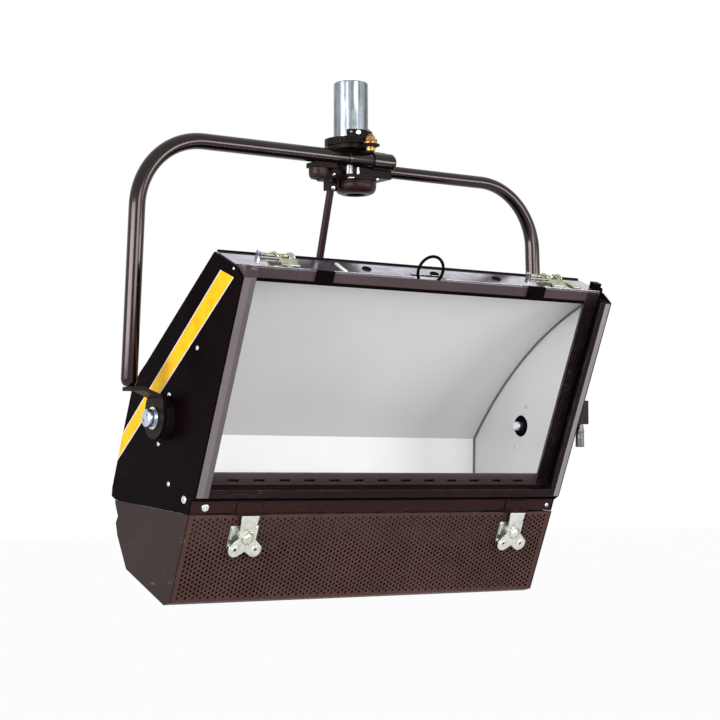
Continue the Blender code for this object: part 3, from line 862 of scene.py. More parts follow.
@dataclass
class Saddle(Assembly):
    """Casting under the pan wheel with its bolts, plunger and cups."""

    bolts: Sequence[Triple] = ((-0.0365, -0.014, -0.124), (0.021, -0.028, -0.1275))
    pin: Line = ((0.0014, -0.1235), (0.0017, -0.1228), (0.0017, -0.1152), (0.0014, -0.1145))
    pin_at: Pair = (-0.0085, -0.0292)
    nut: Line = ((0.0044, -0.1296), (0.005, -0.129), (0.005, -0.1282), (0.0044, -0.1278))
    nut_at: Pair = (-0.0175, -0.0262)
    pan_at: Pair = (0.0075, 0.0)
    pan_bell: Line = ((0.0165, -0.145), (0.0185, -0.1449), (0.0235, -0.1428), (0.0256, -0.14),
                      (0.0267, -0.1365), (0.027, -0.133), (0.0265, -0.131), (0.027, -0.1302),
                      (0.027, -0.129))
    tilt_at: Pair = (-0.055, -0.008)
    tilt_bell: Line = ((0.008, -0.131), (0.0096, -0.1306), (0.0112, -0.129), (0.0122, -0.1265),
                       (0.0125, -0.1235), (0.0125, -0.1174))
    body = "yoke"
    place = ROW

    def build(self) -> None:
        """Dress the casting and add its bolts and cups."""
        self.dress(F.casting, "saddle")
        self.dress(F.dull, "clamp_stud")
        self.dress(F.brass, "index_plunger")
        pins = Fastener(0.0022, 0.004).on(self.bolts) + turned(self.pin, 20).shifted(*self.pin_at)
        nut = turned(self.nut, 6).eased(0.0003).shifted(*self.nut_at)
        self.piece("saddle_pins", pins + nut, F.bright)
        self.cup("pan_cup", self.pan_at, self.pan_bell, 0.013, 0.0043, -0.1385)
        self.cup("tilt_cup", self.tilt_at, self.tilt_bell, 0.0065, 0.0033, -0.125)

    def cup(self, node: str, centre: Pair, profile: Line, pocket: float, stem: float, floor: float) -> None:
        """Make one operating cup.

        Args:
            node: Solid that it stands for.
            centre: Middle of the cup in plan.
            profile: Outside of the bell from below.
            pocket: Radius of the pocket for the pole.
            stem: Radius of the hole for the shaft.
            floor: Height of the pocket's end.
        """
        bell = turned(profile, 48).less(turned([(pocket, -0.2), (pocket, floor)]))
        bell = bell.less(turned([(stem, floor - 0.001), (stem, 0.0)]))
        self.piece(f"{node}_bell", bell.shifted(*centre), F.cup, node, body=f"{node}_body")


@dataclass
class Yoke(Assembly):
    """Bent tubes, ears and tilt pivots, whose nuts are turned by an angle in radians."""

    radius: float = 0.01
    slim: float = 0.0034
    bend: float = 0.09
    steps: int = 28
    start_end: Line = ((0.0, 0.86), (0.0006, 0.95), (0.002, 1.0))
    foot_end: Line = ((0.0085, 1.0), (0.005, 0.93), (0.0022, 0.78), (0.0006, 0.58), (0.0, 0.4))
    depth: float = 0.0103
    left_level: float = -0.1005
    right_level: float = -0.1065
    foot: float = -0.4031
    sleeve: Line = ((0.011, 0.024), (0.0116, 0.0248), (0.0116, 0.0552), (0.011, 0.056))
    ring: Line = ((0.0108, -0.0138), (0.0115, -0.0132), (0.0115, -0.0104), (0.0108, -0.0098))
    nut: Line = ((0.0045, 0.262), (0.0062, 0.2636), (0.0062, 0.2929), (0.0108, 0.2929), (0.011, 0.2934),
                 (0.011, 0.2998), (0.0106, 0.301), (0.0092, 0.302))
    nut_turn: float = 0.6
    body = "yoke"
    place = ROW

    def leg(self, plane: float, start: Pair, corner: Pair, foot: Pair, slim: float = 0.0) -> Solid:
        """Bend one yoke tube.

        The two ends are rounded by pairs of distance from the end and share of the radius.

        Args:
            plane: The tube's place in depth.
            start: Where its level run starts.
            corner: Where run and leg would meet.
            foot: Where the leg ends.
            slim: How much thinner the level run is than the leg, all of it off the top.

        Returns:
            The tube.
        """
        a, b, c = (Vector((p[0], plane, p[1])) for p in (start, corner, foot))
        into, away = (b - a).normalized(), (c - b).normalized()
        half = into.angle(away) / 2
        begin = b - into * self.bend * math.tan(half)
        middle = begin + (away - into * into.dot(away)).normalized() * self.bend
        turn = math.copysign(2 * half, into.cross(away).y)
        r, level = self.radius, self.radius - slim / 2
        spots = [(a + into * far, level * share, level) for far, share in self.start_end]
        for share in (i / self.steps for i in range(self.steps + 1)):
            grown = level + slim / 2 * share ** 2
            spots.append((middle + Matrix.Rotation(turn * share, 3, "Y") @ (begin - middle), grown, grown))
        spots += [(c - away * far, r * share, r) for far, share in self.foot_end]
        path = [point - Vector((0.0, 0.0, r - full)) for point, _, full in spots]
        return tube(path, [radius for _, radius, _ in spots], 32)

    def build(self) -> None:
        """Make the tubes and the pivots' hardware."""
        left = self.leg(-self.depth, (0.059, self.left_level), (-0.3103, self.left_level),
                        (-0.3228, self.foot))
        right = self.leg(self.depth, (-0.034, self.right_level), (0.308, self.right_level),
                         (0.3157, self.foot), self.slim)
        self.piece("yoke_bow_left", left, F.black, "yoke_tube_left")
        self.piece("yoke_bow_right", right, F.black, "yoke_tube_right")
        run = seat((0.0, -self.depth, self.left_level), (1, 0, 0))
        rings = [bored(profile, self.radius + 0.0001, 36, run) for profile in (self.sleeve, self.ring)]
        self.piece("tube_sleeve", rings[0] + rings[1], F.black)
        holes = [turned([(0.0014, 0.2996), (0.0014, 0.31)], 16).shifted(x) for x in (-0.0048, 0.0048)]
        barrel = turned(self.nut, 40).less(holes[0] + holes[1]).at(Matrix.Rotation(self.nut_turn, 4, "Z"))
        for side, name in SIDES:
            self.dress(F.casting, f"ear_{name}")
            self.dress(F.bright, f"washer_{name}")
            self.dress(F.rubber, f"friction_disc_{name}")
            nut = barrel.at(seat(PIVOT, (side, 0, 0)))
            self.piece(f"pivot_nut_{name}", nut, F.blue, f"pivot_bolt_{name}")


@dataclass
class TiltRod(Assembly):
    """Rod that tilts the head, from the saddle down behind it."""

    top: Triple = (-0.0305, 0.0, -0.137)
    pin: Triple = (-0.0305, 0.0715, -0.381)
    bore: float = 0.0034
    eye_bore: float = 0.0028
    sleeve: Line = ((0.0044, -0.19), (0.0048, -0.1894), (0.0048, -0.004))
    eye: Line = ((0.0056, -0.0047), (0.006, -0.0043), (0.006, 0.0043), (0.0056, 0.0047))
    body = "rod_tube_body"

    @property
    def place(self) -> Matrix:
        """Frame with -Z down the rod."""
        drop = Vector(self.pin) - Vector(self.top)
        return Matrix.Translation(self.top) @ Matrix.Rotation(math.atan2(drop.y, -drop.z), 4, "X")

    def build(self) -> None:
        """Make the outer tube with its eye, and the pin's head."""
        rod = bored(self.sleeve, self.bore)
        rod += bored(self.eye, self.eye_bore, 28, Matrix.Rotation(math.pi / 2, 4, "Y"))
        self.piece("rod_sleeve", rod, F.cup, "tilt_tube", slot="black_paint")
        head = Fastener(0.0034, 0.003).on([(0, -0.0047, -0.001)])
        self.piece("rod_pin_heads", head, F.bright)
        self.dress(F.bright, "tilt_screw")
        self.dress(F.black, "tilt_lug")


@dataclass
class Housing(Assembly):
    """End plates with their stripe, panels, channels and corner fittings."""

    stripe: Line = ((-0.0539, 0.2043), (-0.0863, 0.2058), (0.0946, -0.0946), (0.0946, -0.0563))
    inset: Line = ((-0.0014, 0.0), (0.0014, 0.0), (0.0, 0.00238), (0.0, -0.00238))
    film: float = 0.00022
    small_screws: Line = ((0.0013, 0.0297), (0.0026, -0.0339), (-0.0405, -0.0676), (-0.0402, 0.1043))
    large_screw: Pair = (-0.0828, -0.0692)
    plate_rivet: Pair = (-0.0822, 0.215)
    rail_face: float = -0.097
    latches: Pair = (-0.194, 0.212)
    highlight_strip: Line = ((-0.1235, -0.079), (-0.1195, -0.079), (-0.115, -0.047), (-0.119, -0.047))
    channel: Pair = (-0.057, 0.211)
    top_holes: Sequence[float] = (-0.081, 0.0197, 0.1164)
    back: Line = ((-0.0302, 0.2169), (0.072, 0.045))
    back_rivets: Sequence[float] = (0.06, 0.3, 0.54, 0.78, 0.96)

    def build(self) -> None:
        """Dress the housing's solids and make its other pieces."""
        self.dress(F.plate, "end_plate_left", "end_plate_right")
        # One channel sheet in two tones: grey on the left as a painted reflection where its flange catches
        # the light, near-black on the right as painted shade on its inner side.
        self.dress(F.grey, "channel_left")
        self.dress(F.dark, "channel_right")
        self.dress(F.top, "top_panel")
        self.dress(F.plate, "back_panel", "corner_catch_right")
        self.dress(F.dark, "bottom_channel")
        self.dress(F.frame, "corner_block_left")
        self.dress(F.rail, "bottom_rail", "keeper_left", "keeper_right")
        self.dress(F.rubber, "cable_gland")
        self.dress(F.casting, "side_catch_bracket")
        self.sides()
        self.front()
        self.trims()
        self.rear()

    def sides(self) -> None:
        """Make the stripes and screws of the end plates."""
        core = [(y + dy, z + dz) for (y, z), (dy, dz) in zip(self.stripe, self.inset)]
        for side, name in SIDES:
            face, out = side * HALF, (side, 0, 0)
            low, high = sorted((face, face + side * self.film))
            self.piece(f"stripe_{name}", prism(core, low, high), F.yellow)
            lines = [prism([self.stripe[i], core[i], core[j], self.stripe[j]], low, high)
                     for i, j in ((0, 3), (1, 2))]
            self.piece(f"stripe_edges_{name}", lines[0] + lines[1], F.edging)
            spots = [(face, *spot) for spot in self.small_screws]
            heads = Fastener(0.003, 0.0018, Drive.CROSS).on(spots, out)
            heads += Fastener(0.005, 0.0024, Drive.CROSS).on([(face, *self.large_screw)], out)
            heads += Fastener(0.0018, 0.0012).on([(face, *self.plate_rivet)], out)
            self.piece(f"plate_screws_{name}", heads, F.bright)

    def front(self) -> None:
        """Make the rivets and screws of the rail, and a white strip on the top panel that is a painted
        highlight.
        """
        spots = [(x + dx, self.rail_face, -0.0712) for x in self.latches for dx in (-0.0215, 0.0215)]
        self.piece("rail_rivets", Fastener(0.0024, 0.0014).on(spots), F.cap, slot="steel")
        screws = Fastener(0.0052, 0.0026, Drive.CROSS).on([(-0.2536, self.rail_face, -0.0732)])
        screws += Fastener(0.0028, 0.0018, Drive.CROSS).on([(0.264, self.rail_face, -0.0732)])
        self.piece("rail_screws", screws, F.bright)
        # A white strip on the glossy top panel: a painted highlight where the panel reflects the light.
        highlight_strip = prism(self.highlight_strip, 0.2204, 0.2216, Axis.Z).eased(0.0003)
        self.piece("top_highlight_strip", highlight_strip, F.band, slot="zinc")

    def trims(self) -> None:
        """Make the flat trims of top panel and channels, and the caps in the panel's holes."""
        for name, x, y, z, ease, finish in (
                ("corner_plate", (0.23, 0.244), (-0.076, -0.054), (0.2206, 0.2222), 0.0004, F.gold),
                # The lip and the right edge strip are painted light: lighter tones of the channels' paint
                # where their front flanges catch the light.
                ("channel_lip_left", (-0.2632, -0.2571), (-0.1055, -0.105), self.channel, 0.0002, F.lip),
                ("channel_edge_right", (0.2646, 0.2722), (-0.1056, -0.105), self.channel, 0.0002, F.light),
                ("top_hem", (-0.2715, 0.2715), (-0.034, -0.0312), (0.22, 0.222), 0.0003, F.plate)):
            self.piece(name, box(x, y, z).eased(ease), finish)
        caps = Fastener(0.006, 0.0026).on([(x, -0.06, 0.2203) for x in self.top_holes], (0, 0, 1))
        self.piece("top_hole_caps", caps, F.rubber)

    def rear(self) -> None:
        """Make the rivets of the back panel, at shares of its slope."""
        top, low = (Vector(p) for p in self.back)
        along = (low - top).normalized()
        spots = [(x, *top.lerp(low, share)) for share in self.back_rivets for x in (-0.266, 0.266)]
        rivets = Fastener(0.0024, 0.0013).on(spots, (0, -along.y, along.x))
        self.piece("back_rivets", rivets, F.zinc, slot="steel")


@dataclass
class SideCatch(Assembly):
    """Sprung plunger of the side catch, upright in the rest pose."""

    axis: Triple = (0.2842, -0.0964, 0.0417)
    tip: Line = ((0.0042, -0.03), (0.0056, -0.0292), (0.006, -0.028))
    grooves: int = 7
    groove: Line = ((0.006, 0.0), (0.0053, 0.0006), (0.0053, 0.0012), (0.006, 0.0018))
    stem: Line = ((0.006, -0.008), (0.005, -0.005), (0.005, -0.0012), (0.0038, -0.001),
                  (0.0038, 0.0156), (0.003, 0.016))
    body = "side_plunger_body"

    @property
    def place(self) -> Matrix:
        """Frame on the plunger's axis."""
        return HEAD @ Matrix.Translation(self.axis) @ Matrix.Rotation(-TILT, 4, "X")

    def build(self) -> None:
        """Make the plunger with its grooved grip."""
        grip = [(r, z - 0.027 + 0.0026 * k) for k in range(self.grooves) for r, z in self.groove]
        self.piece("plunger_knob", turned([*self.tip, *grip, *self.stem], 36), F.dull, "side_plunger")


@dataclass
class Optics(Assembly):
    """Reflector, lamp trough and the two quartz lamps."""

    centre: Pair = (-0.4103, -0.1782)
    radius: float = 0.5133
    span: Pair = (48.1, 13.9)
    top: float = 0.218
    kick: Line = ((0.071, -0.097), (0.06, -0.122))
    half: float = 0.2692
    thick: float = 0.001
    trough: Line = ((-0.0775, -0.04), (-0.0775, -0.085), (-0.04, -0.158), (0.02, -0.158),
                    (0.052, -0.12))
    pivot_end: Line = ((0.0046, 0.26), (0.0052, 0.2608), (0.0052, 0.264))
    screws: Sequence[float] = (0.0285, -0.0295)
    lamp: Pair = (-0.01, -0.135)
    glass: Line = ((0.004, 0.024), (0.0058, 0.0262), (0.006, 0.0275), (0.006, 0.2305), (0.0058, 0.2318),
                   (0.004, 0.234))
    inner_end: Line = ((0.004, 0.013), (0.0045, 0.0136), (0.0045, 0.0238))
    outer_end: Line = ((0.0045, 0.2342), (0.0045, 0.2444), (0.004, 0.245))
    wire: float = 0.00028
    coil: float = 0.0011
    coil_start: float = 0.032
    coil_length: float = 0.194
    turns: int = 70
    turn_steps: int = 8

    def build(self) -> None:
        """Make the reflector, the trough's lining and the lamps."""
        curve = arc(self.centre, self.radius, *self.span, 64)
        upper = [(curve[0][0], self.top), *curve]
        sheet = prism(folded(upper, self.thick), -self.half, self.half)
        self.piece("reflector_sheet", sheet, F.white, "reflector", angle=12.0)
        # The lower facet is the same reflector sheet, given the brighter white band: painted light where
        # the lamps shine on it.
        band = prism(folded([curve[-1], *self.kick], self.thick), -self.half, self.half)
        self.piece("reflector_band", band, F.band)
        self.dress(F.white, "liner_left", "liner_right")
        self.dress(F.trough, "lamp_trough")
        self.dress(F.ceramic, "lamp_holder_left", "lamp_holder_middle", "lamp_holder_right")
        lining = prism(folded(beside(self.trough, 0.00105), 0.0003), -0.2673, 0.2673)
        self.piece("trough_lining", lining, F.band)
        # A grey strip along the seam between reflector and right wall: painted shade in the narrow gap
        # between them.
        seam = prism(folded([*upper, *self.kick], -0.0022), 0.2674, 0.2694)
        self.piece("wall_seam_shade_right", seam, F.seam)
        for side, name in SIDES:
            self.bulb(side, name)
            end = turned(self.pivot_end, 28, seat((0, 0, 0), (side, 0, 0)))
            self.piece(f"pivot_end_{name}", end, F.band, slot="zinc")
            spots = [(side * 0.2698, -0.002, z) for z in self.screws]
            heads = Fastener(0.0026, 0.0014, Drive.CROSS).on(spots, (-side, 0, 0))
            self.piece(f"liner_screws_{name}", heads, F.bright)

    def bulb(self, side: int, name: str) -> None:
        """Make one double-ended lamp.

        Args:
            side: -1 on the left, 1 on the right.
            name: Name of the side.
        """
        place = seat((0.0, *self.lamp), (side, 0, 0))
        glass = bored(self.glass, 0.0036, 28, place)
        self.piece(f"lamp_glass_{name}", glass, F.quartz, f"lamp_{name}")
        ends = turned(self.inner_end, 24, place) + turned(self.outer_end, 24, place)
        self.piece(f"lamp_ends_{name}", ends, F.ceramic)
        ring = spokes(self.turn_steps) * self.turns + [(1.0, 0.0)]
        rise = self.coil_length / (len(ring) - 1)
        path = [place @ Vector((self.coil * c, self.coil * s, self.coil_start + rise * k))
                for k, (c, s) in enumerate(ring)]
        self.piece(f"filament_{name}", tube(path, self.wire, 5), F.wire, angle=80.0)


@dataclass(frozen=True)
class Perforation:
    """Sheet with staggered round holes, folded along a path."""

    pitch: float = 0.006
    hole: float = 0.00206
    columns: int = 103
    half: float = INNER
    thick: float = SHEET

    @cached_property
    def grid(self) -> list[float]:
        """Places across the sheet where its half cells meet."""
        step = self.pitch * math.sqrt(3) / 4
        return [-self.half, *((k - self.columns) * step for k in range(2 * self.columns + 1)), self.half]

    def around(self, across: Sequence[float], along: Sequence[float]) -> list[Line]:
        """Patches round one hole.

        Args:
            across: Start, middle and end of the hole's cell across the sheet.
            along: The same along the path.

        Returns:
            The patches, as corners across and along the sheet.
        """
        (left, middle, right), (low, mid, high) = across, along
        rim = [(left, low), (middle, low), (right, low), (right, mid), (right, high), (middle, high),
               (left, high), (left, mid)]
        hole = arc((middle, mid), self.hole, 225, 540, len(rim) - 1)
        return [(rim[k - 1], rim[k], hole[k], hole[k - 1]) for k in range(len(rim))]

    def flat(self, start: float, length: float, rows: int) -> list[Line]:
        """Patches of one flat of the sheet, of which a hole takes up two half cells each way.

        Args:
            start: Where it starts along the path.
            length: Its length.
            rows: Its rows of holes.

        Returns:
            The patches, as corners across and along the sheet.
        """
        low = start + (length - rows * self.pitch) / 2
        rims = [low + self.pitch / 2 * k for k in range(2 * rows + 1)] if rows else []
        levels = [start, *rims, start + length]
        holes = [(2 * column + 1, 2 * row + 1 + column % 2) for column in range(self.columns)
                 for row in range(rows - column % 2)]
        taken = {(i + di, k + dk) for i, k in holes for di in (0, 1) for dk in (0, 1)}
        patches = [oblong(self.grid[i:i + 2], levels[k:k + 2]) for i in range(len(self.grid) - 1)
                   for k in range(len(levels) - 1) if (i, k) not in taken]
        for i, k in holes:
            patches += self.around(self.grid[i:i + 3], levels[k:k + 3])
        return patches

    def sheet(self, path: Line, rows: Sequence[int]) -> Solid:
        """Fold the sheet.

        Args:
            path: Profile of the sheet's outside.
            rows: Rows of holes on each flat of the path.

        Returns:
            The closed sheet with its holes.
        """
        corners, mitred = ([Vector(p) for p in line] for line in (path, beside(path, self.thick)))
        lengths = [(b - a).length for a, b in zip(corners, corners[1:])]
        starts = [sum(lengths[:i]) for i in range(len(lengths))]

        def spot(x: float, s: float, layer: int) -> Vector:
            """Point at a place on one side of the sheet.

            Args:
                x: Place across the sheet.
                s: Distance along the path.
                layer: 0 on the outside, 1 on the inside.

            Returns:
                The point.
            """
            flat = max(i for i, start in enumerate(starts) if s > start - TINY)
            share = (s - starts[flat]) / lengths[flat]
            point = corners[flat].lerp(corners[flat + 1], share)
            if layer and TINY < share < 1 - TINY:
                along = (corners[flat + 1] - corners[flat]).normalized()
                point += Vector((-along.y, along.x)) * self.thick
            elif layer:
                point = mitred[flat + round(share)]
            return Vector((x, *point))

        patches = [patch for measures in zip(starts, lengths, rows) for patch in self.flat(*measures)]
        places = {(round(x, 6), round(s, 6)): (x, s) for patch in patches for x, s in patch}
        number = {key: i for i, key in enumerate(places)}
        loops = [[number[round(x, 6), round(s, 6)] for x, s in patch] for patch in patches]
        count = len(places)
        points = [spot(x, s, layer) for layer in (0, 1) for x, s in places.values()]
        faces = [tuple(i + shift for i in loop) for shift in (0, count) for loop in loops]
        edges = [(a, b) for loop in loops for a, b in zip(loop, loop[1:] + loop[:1])]
        uses = Counter(frozenset(edge) for edge in edges)
        faces += [(a, b, b + count, a + count) for a, b in edges if uses[frozenset((a, b))] == 1]
        return Solid(points, faces)


@dataclass
class LampDoor(Assembly):
    """Perforated tray under the opening with its plain ends."""

    profile: Line = ((-0.0985, -0.0828), (-0.098, -0.196), (-0.087, -0.204), (0.018, -0.207),
                     (0.057, -0.179), (0.067, -0.1666), (0.065, -0.157), (0.0785, -0.1452))
    rows: Sequence[int] = (18, 2, 0, 0, 0, 0, 0)
    leaf_end: float = 0.085
    leaves: Line = ((-INNER, -0.221), (-0.179, 0.179), (0.221, INNER))
    knuckles: Sequence[float] = (-0.2605, -0.1795, 0.1395, 0.2205)
    knuckle_length: float = 0.039
    hinge: Pair = (0.086, -0.1441)
    body = "door"

    def build(self) -> None:
        """Make the tray with its hinge leaves and knuckles."""
        tray = Perforation().sheet(self.profile, self.rows)
        edge = self.profile[-1]
        for low, high in self.leaves:
            tray += prism(folded([edge, (self.leaf_end, edge[1])]), low, high)
        for x in self.knuckles:
            knuckle = [(0.0028, x), (0.0028, x + self.knuckle_length)]
            tray += turned(knuckle, 20, seat((0, *self.hinge), (1, 0, 0)))
        self.piece("perforated_tray", tray, F.brown, "lamp_door")
        self.dress(F.cap, "door_end_left", "door_end_right")


@dataclass
class TwistLatch(Assembly):
    """Butterfly latch between the lamp door and the rail."""

    name: str
    x: float
    z: float = -0.1084
    neck: Line = ((0.0098, 0.0), (0.0056, 0.008))
    lobe: Pair = (0.0132, -0.015)
    lobe_radius: float = 0.0095
    hole_at: float = 0.014
    hole: float = 0.0021
    wing_depth: Pair = (-0.109, -0.1066)
    tab_depth: Pair = (-0.1062, -0.1046)
    through: Pair = (-0.12, -0.09)
    stud: Line = ((0.003, 0.099), (0.003, 0.108), (0.0065, 0.108), (0.0065, 0.1094), (0.006, 0.11),
                  (0.0046, 0.1102), (0.0044, 0.1108), (0.0036, 0.1114), (0.0, 0.1115))
    boss: Line = ((0.0048, 0.1088), (0.0046, 0.1094), (0.004, 0.1096), (0.003, 0.1094))
    tab: Line = ((0.0096, -0.013), (0.0104, 0.001), (0.0104, 0.012), (0.012, 0.023), (0.0122, 0.0276))
    hub_ring: Line = ((0.0086, 0.109), (0.0088, 0.1094), (0.0084, 0.1097), (0.0074, 0.1096))

    @property
    def wing(self) -> Solid:
        """Make the wing with its two holes.

        Returns:
            The wing, upright about its hub.
        """
        (x, z), r = self.lobe, self.lobe_radius
        lobes = [(-a, b) for a, b in reversed(self.neck)] + arc((-x, z), r, 150, 300, 20) + [(0.0, -0.0175)]
        lobes += arc((x, z), r, 240, 390, 20) + list(self.neck)
        wing = prism(lobes, *self.wing_depth, Axis.Y)
        drill = turned([(self.hole, depth) for depth in self.through], 20)
        for side in (-1, 1):
            wing = wing.less(drill.at(seat((side * self.hole_at, 0, z), (0, 1, 0))))
        return wing.eased(0.0006, 50)

    def build(self) -> None:
        """Make the wing, the tab, the ring round the hub and the base's rivets."""
        hub, facing = Matrix.Translation((self.x, 0.0, self.z)), seat((0, 0, 0), FRONT)
        wing = self.wing
        for side in (-1, 1):
            place = Matrix.Translation((side * self.hole_at, 0, self.lobe[1])) @ facing
            wing += bored(self.boss, self.hole, 24, place)
        wing += turned(self.stud, 32, facing)
        self.piece(f"butterfly_{self.name}", wing.at(hub), F.zinc, f"latch_wing_{self.name}",
                   body=f"wing_{self.name}")
        outline = [(-a, b) for a, b in reversed(self.tab)] + list(self.tab)
        slot = box((-0.0034, 0.0034), self.through, (-0.02, 0.0034))
        plate = prism(outline, *self.tab_depth, Axis.Y).less(slot).eased(0.0003, 50)
        self.piece(f"latch_hook_{self.name}", plate.at(hub), F.zinc, f"latch_tab_{self.name}",
                   body=f"tab_{self.name}")
        self.dress(F.zinc, f"latch_base_{self.name}")
        ring = bored(self.hub_ring, 0.0068, 32, hub @ facing)
        self.piece(f"hub_ring_{self.name}", ring, F.gold, body=f"wing_{self.name}")
        spots = [(self.x + dx, -0.1003, z) for dx in (-0.0175, 0.0145) for z in (-0.0985, -0.1215)]
        rivets = Fastener(0.0016, 0.001).on(spots)
        self.piece(f"latch_rivets_{self.name}", rivets, F.bright, slot="zinc", body="door")


@dataclass
class ColourFrame(Assembly):
    """Filter frame in the channels, with its pull ring."""

    tabs: Line = ((-0.1664, -0.1426), (0.1496, 0.1754))
    first_ridge: float = 0.2474
    ridge: float = 0.0036
    ridge_pitch: float = 0.0043
    ring: float = 0.0183
    wire: float = 0.0019
    ring_low: Pair = (-0.077, 0.2103)
    body = "frame"

    def build(self) -> None:
        """Dress the frame and make its trims, a painted shadow line under its top bar, and the ring."""
        self.dress(F.frame, "colour_frame")
        tabs = [box(tab, (-0.0884, -0.0846), (0.2062, 0.2219)).eased(0.0004) for tab in self.tabs]
        self.piece("frame_tabs", tabs[0] + tabs[1], F.plate)
        # A black strip under the frame's top bar, above the reflector: a painted shadow in the gap between
        # them.
        shadow_line = box((-0.2465, 0.2465), (-0.085, -0.0845), (0.2031, 0.2072))
        self.piece("window_shadow_line", shadow_line, F.plate)
        # The ridges carry painted light on the frame's own paint: near-black on the right as painted shade,
        # grey on the left as a painted reflection.
        self.ridges("frame_edge_right_shade", 1, 5, F.dark)
        self.ridges("frame_edge_left_reflection", -1, 4, F.grey)
        middle = Vector((0.0, self.ring_low[0], self.ring_low[1] + self.ring))
        path = [middle + Vector((c, 0.0, s)) * self.ring for c, s in spokes(64)]
        self.piece("wire_ring", tube(path, self.wire, 16, True), F.plate, "pull_ring", body="ring")

    def ridges(self, name: str, side: int, count: int, finish: Finish) -> None:
        """Make the ridges on one edge of the frame.

        Args:
            name: The piece's name.
            side: -1 on the left, 1 on the right.
            count: Number of ridges.
            finish: Their finish.
        """
        made = Solid()
        for start in (self.first_ridge + self.ridge_pitch * k for k in range(count)):
            low, high = sorted((side * start, side * (start + self.ridge)))
            made += box((low, high), (-0.0851, -0.0845), (-0.0495, 0.2185)).eased(0.0002)
        self.piece(name, made, finish)


@dataclass
class SpringClip(Assembly):
    """Sprung clip on the top panel."""

    name: str
    x: float
    leaf: Line = ((0.0, 0.0008), (-0.007, 0.0034), (-0.014, 0.0045), (-0.0205, 0.0034), (-0.027, 0.0014),
                  (-0.036, -0.0018), (-0.0375, -0.0008))
    ear: Line = ((-0.005, 0.0018), (-0.014, 0.0038), (-0.023, 0.002), (-0.0215, 0.0062),
                 (-0.0165, 0.0082), (-0.0105, 0.0078), (-0.006, 0.0052))
    pin: Line = ((0.0018, -0.0225), (0.0021, -0.0222), (0.0021, 0.0142), (0.0018, 0.0145))
    half: float = 0.012
    thick: float = 0.0011

    def build(self) -> None:
        """Make the clip's leaf with its window, turned-up sides and pin."""
        window = box((-0.006, 0.006), (-0.0235, -0.0085), (-0.01, 0.02))
        clip = prism(folded(self.leaf, -self.thick), -self.half, self.half).less(window).eased(0.00035, 40)
        clip += turned(self.pin, 24, seat((0, 0, 0), (1, 0, 0)))
        for side in (-1, 1):
            low, high = sorted((side * self.half, side * (self.half - self.thick)))
            clip += prism(self.ear, low, high).eased(0.0003, 40)
        self.piece(f"clip_leaf_{self.name}", clip.shifted(self.x + 0.004, -0.042, 0.2235), F.gold,
                   f"top_clip_{self.name}", body=f"clip_{self.name}")


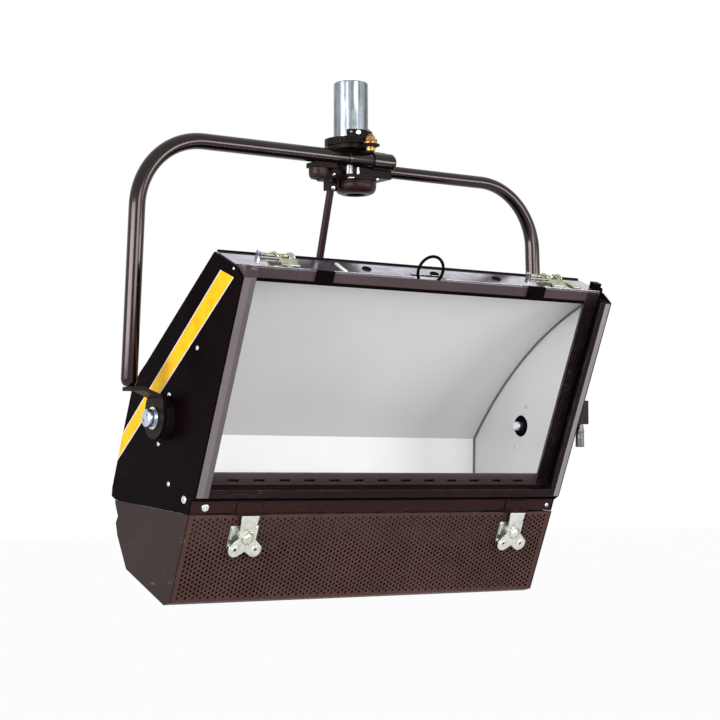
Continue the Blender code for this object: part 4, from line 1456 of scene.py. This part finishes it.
@dataclass
class Studio:
    """Camera with its turns in degrees, soft lamps, floor and pale surroundings."""

    camera_at: Triple = (-1.3333, -1.98415, -0.51533)
    yaw: float = -34.185
    pitch: float = 3.732
    lens: float = 93.236
    middle: Triple = (0.0, -0.05, -0.38)
    dim: float = 0.22
    floor_reach: float = 40.0
    floor_level: float = -1.9
    floor_grey: float = 0.9
    floor_glow: float = 1.1
    floor_share: float = 0.85

    def build(self) -> None:
        """Set up the studio."""
        scene = bpy.context.scene
        scene.view_settings.view_transform = "Standard"
        view = bpy.data.cameras.new("camera")
        view.lens, view.sensor_width, view.clip_end = self.lens, 36.0, 200.0
        camera = bpy.data.objects.new("camera", view)
        camera.location = self.camera_at
        camera.rotation_euler = (math.radians(90 + self.pitch), 0.0, math.radians(self.yaw))
        scene.collection.objects.link(camera)
        scene.camera = camera
        self.surroundings()
        self.floor()
        self.lamp("front box", (-0.25, -3.2, 0.15), (1.6, 1.0), 50.0)
        self.lamp("front right box", (1.7, -2.45, -0.25), (1.3, 0.8), 38.0)
        self.lamp("left box", (-3.0, -0.75, 0.0), (2.7, 1.0), 122.0)

    def lamp(self, name: str, place: Triple, size: Pair, power: float) -> None:
        """Hang an area lamp that looks at the light's middle.

        Args:
            name: The lamp's name.
            place: Where it stands.
            size: Width and height.
            power: Watts.
        """
        data = bpy.data.lights.new(name, "AREA")
        data.shape, data.size, data.size_y, data.energy = "RECTANGLE", *size, power
        made = bpy.data.objects.new(name, data)
        made.location = place
        made.rotation_euler = (Vector(self.middle) - Vector(place)).to_track_quat("-Z", "Y").to_euler()
        bpy.context.scene.collection.objects.link(made)

    def surroundings(self) -> None:
        """Make a world that shows white and lights at a plain level."""
        g = Graph(bpy.data.worlds.new("surroundings"))
        level = g.node("ShaderNodeMapRange", values={"Value": g.rays("Camera", "Glossy", "Transmission"),
                                                     "To Min": self.dim, "To Max": 1.0})
        bpy.context.scene.world = g.fill("Background", color=(1.0, 1.0, 1.0), strength=level)

    def floor(self) -> None:
        """Make a pale floor far under the light, which shows as the backdrop and keeps the shadow."""
        g = Graph(bpy.data.materials.new("pale floor"))
        g.fill("Principled BSDF", base_color=(self.floor_grey,) * 3, roughness=0.9)
        plain = Sock(g, g.tree.nodes["Principled BSDF"].outputs[0])
        glow = g.node("ShaderNodeEmission", values={"Strength": self.floor_glow})
        share = g.rays("Camera", "Glossy") * self.floor_share
        shown = g.node("ShaderNodeMixShader", values={0: share, 1: plain, 2: glow})
        limits = (-self.floor_reach, self.floor_reach)
        mesh = bpy.data.meshes.new("studio_floor")
        mesh.from_pydata([(x, y, self.floor_level) for x, y in oblong(limits, limits)], [], [(0, 1, 2, 3)])
        mesh.materials.append(g.fill("Material Output", surface=shown))
        made = bpy.data.objects.new("studio_floor", mesh)
        bpy.context.scene.collection.objects.link(made)


def main() -> None:
    """Dress the light and set up the studio."""
    logging.basicConfig(level=logging.INFO, format="%(message)s")
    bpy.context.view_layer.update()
    Studio().build()
    parts: list[Assembly] = [Hanger(), Saddle(), Yoke(), TiltRod(), Housing(), SideCatch(), Optics(),
                             LampDoor(), TwistLatch("left", -0.194), TwistLatch("right", 0.212),
                             ColourFrame(), SpringClip("left", -0.202), SpringClip("right", 0.202)]
    for part in parts:
        log.info("building %s", type(part).__name__)
        part.build()


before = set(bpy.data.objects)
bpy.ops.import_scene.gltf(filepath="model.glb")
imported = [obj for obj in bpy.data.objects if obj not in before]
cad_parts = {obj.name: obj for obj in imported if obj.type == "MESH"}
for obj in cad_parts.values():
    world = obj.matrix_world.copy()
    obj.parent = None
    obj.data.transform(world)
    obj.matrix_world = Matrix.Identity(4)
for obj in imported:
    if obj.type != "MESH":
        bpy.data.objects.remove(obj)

if __name__ == "__main__":
    main()
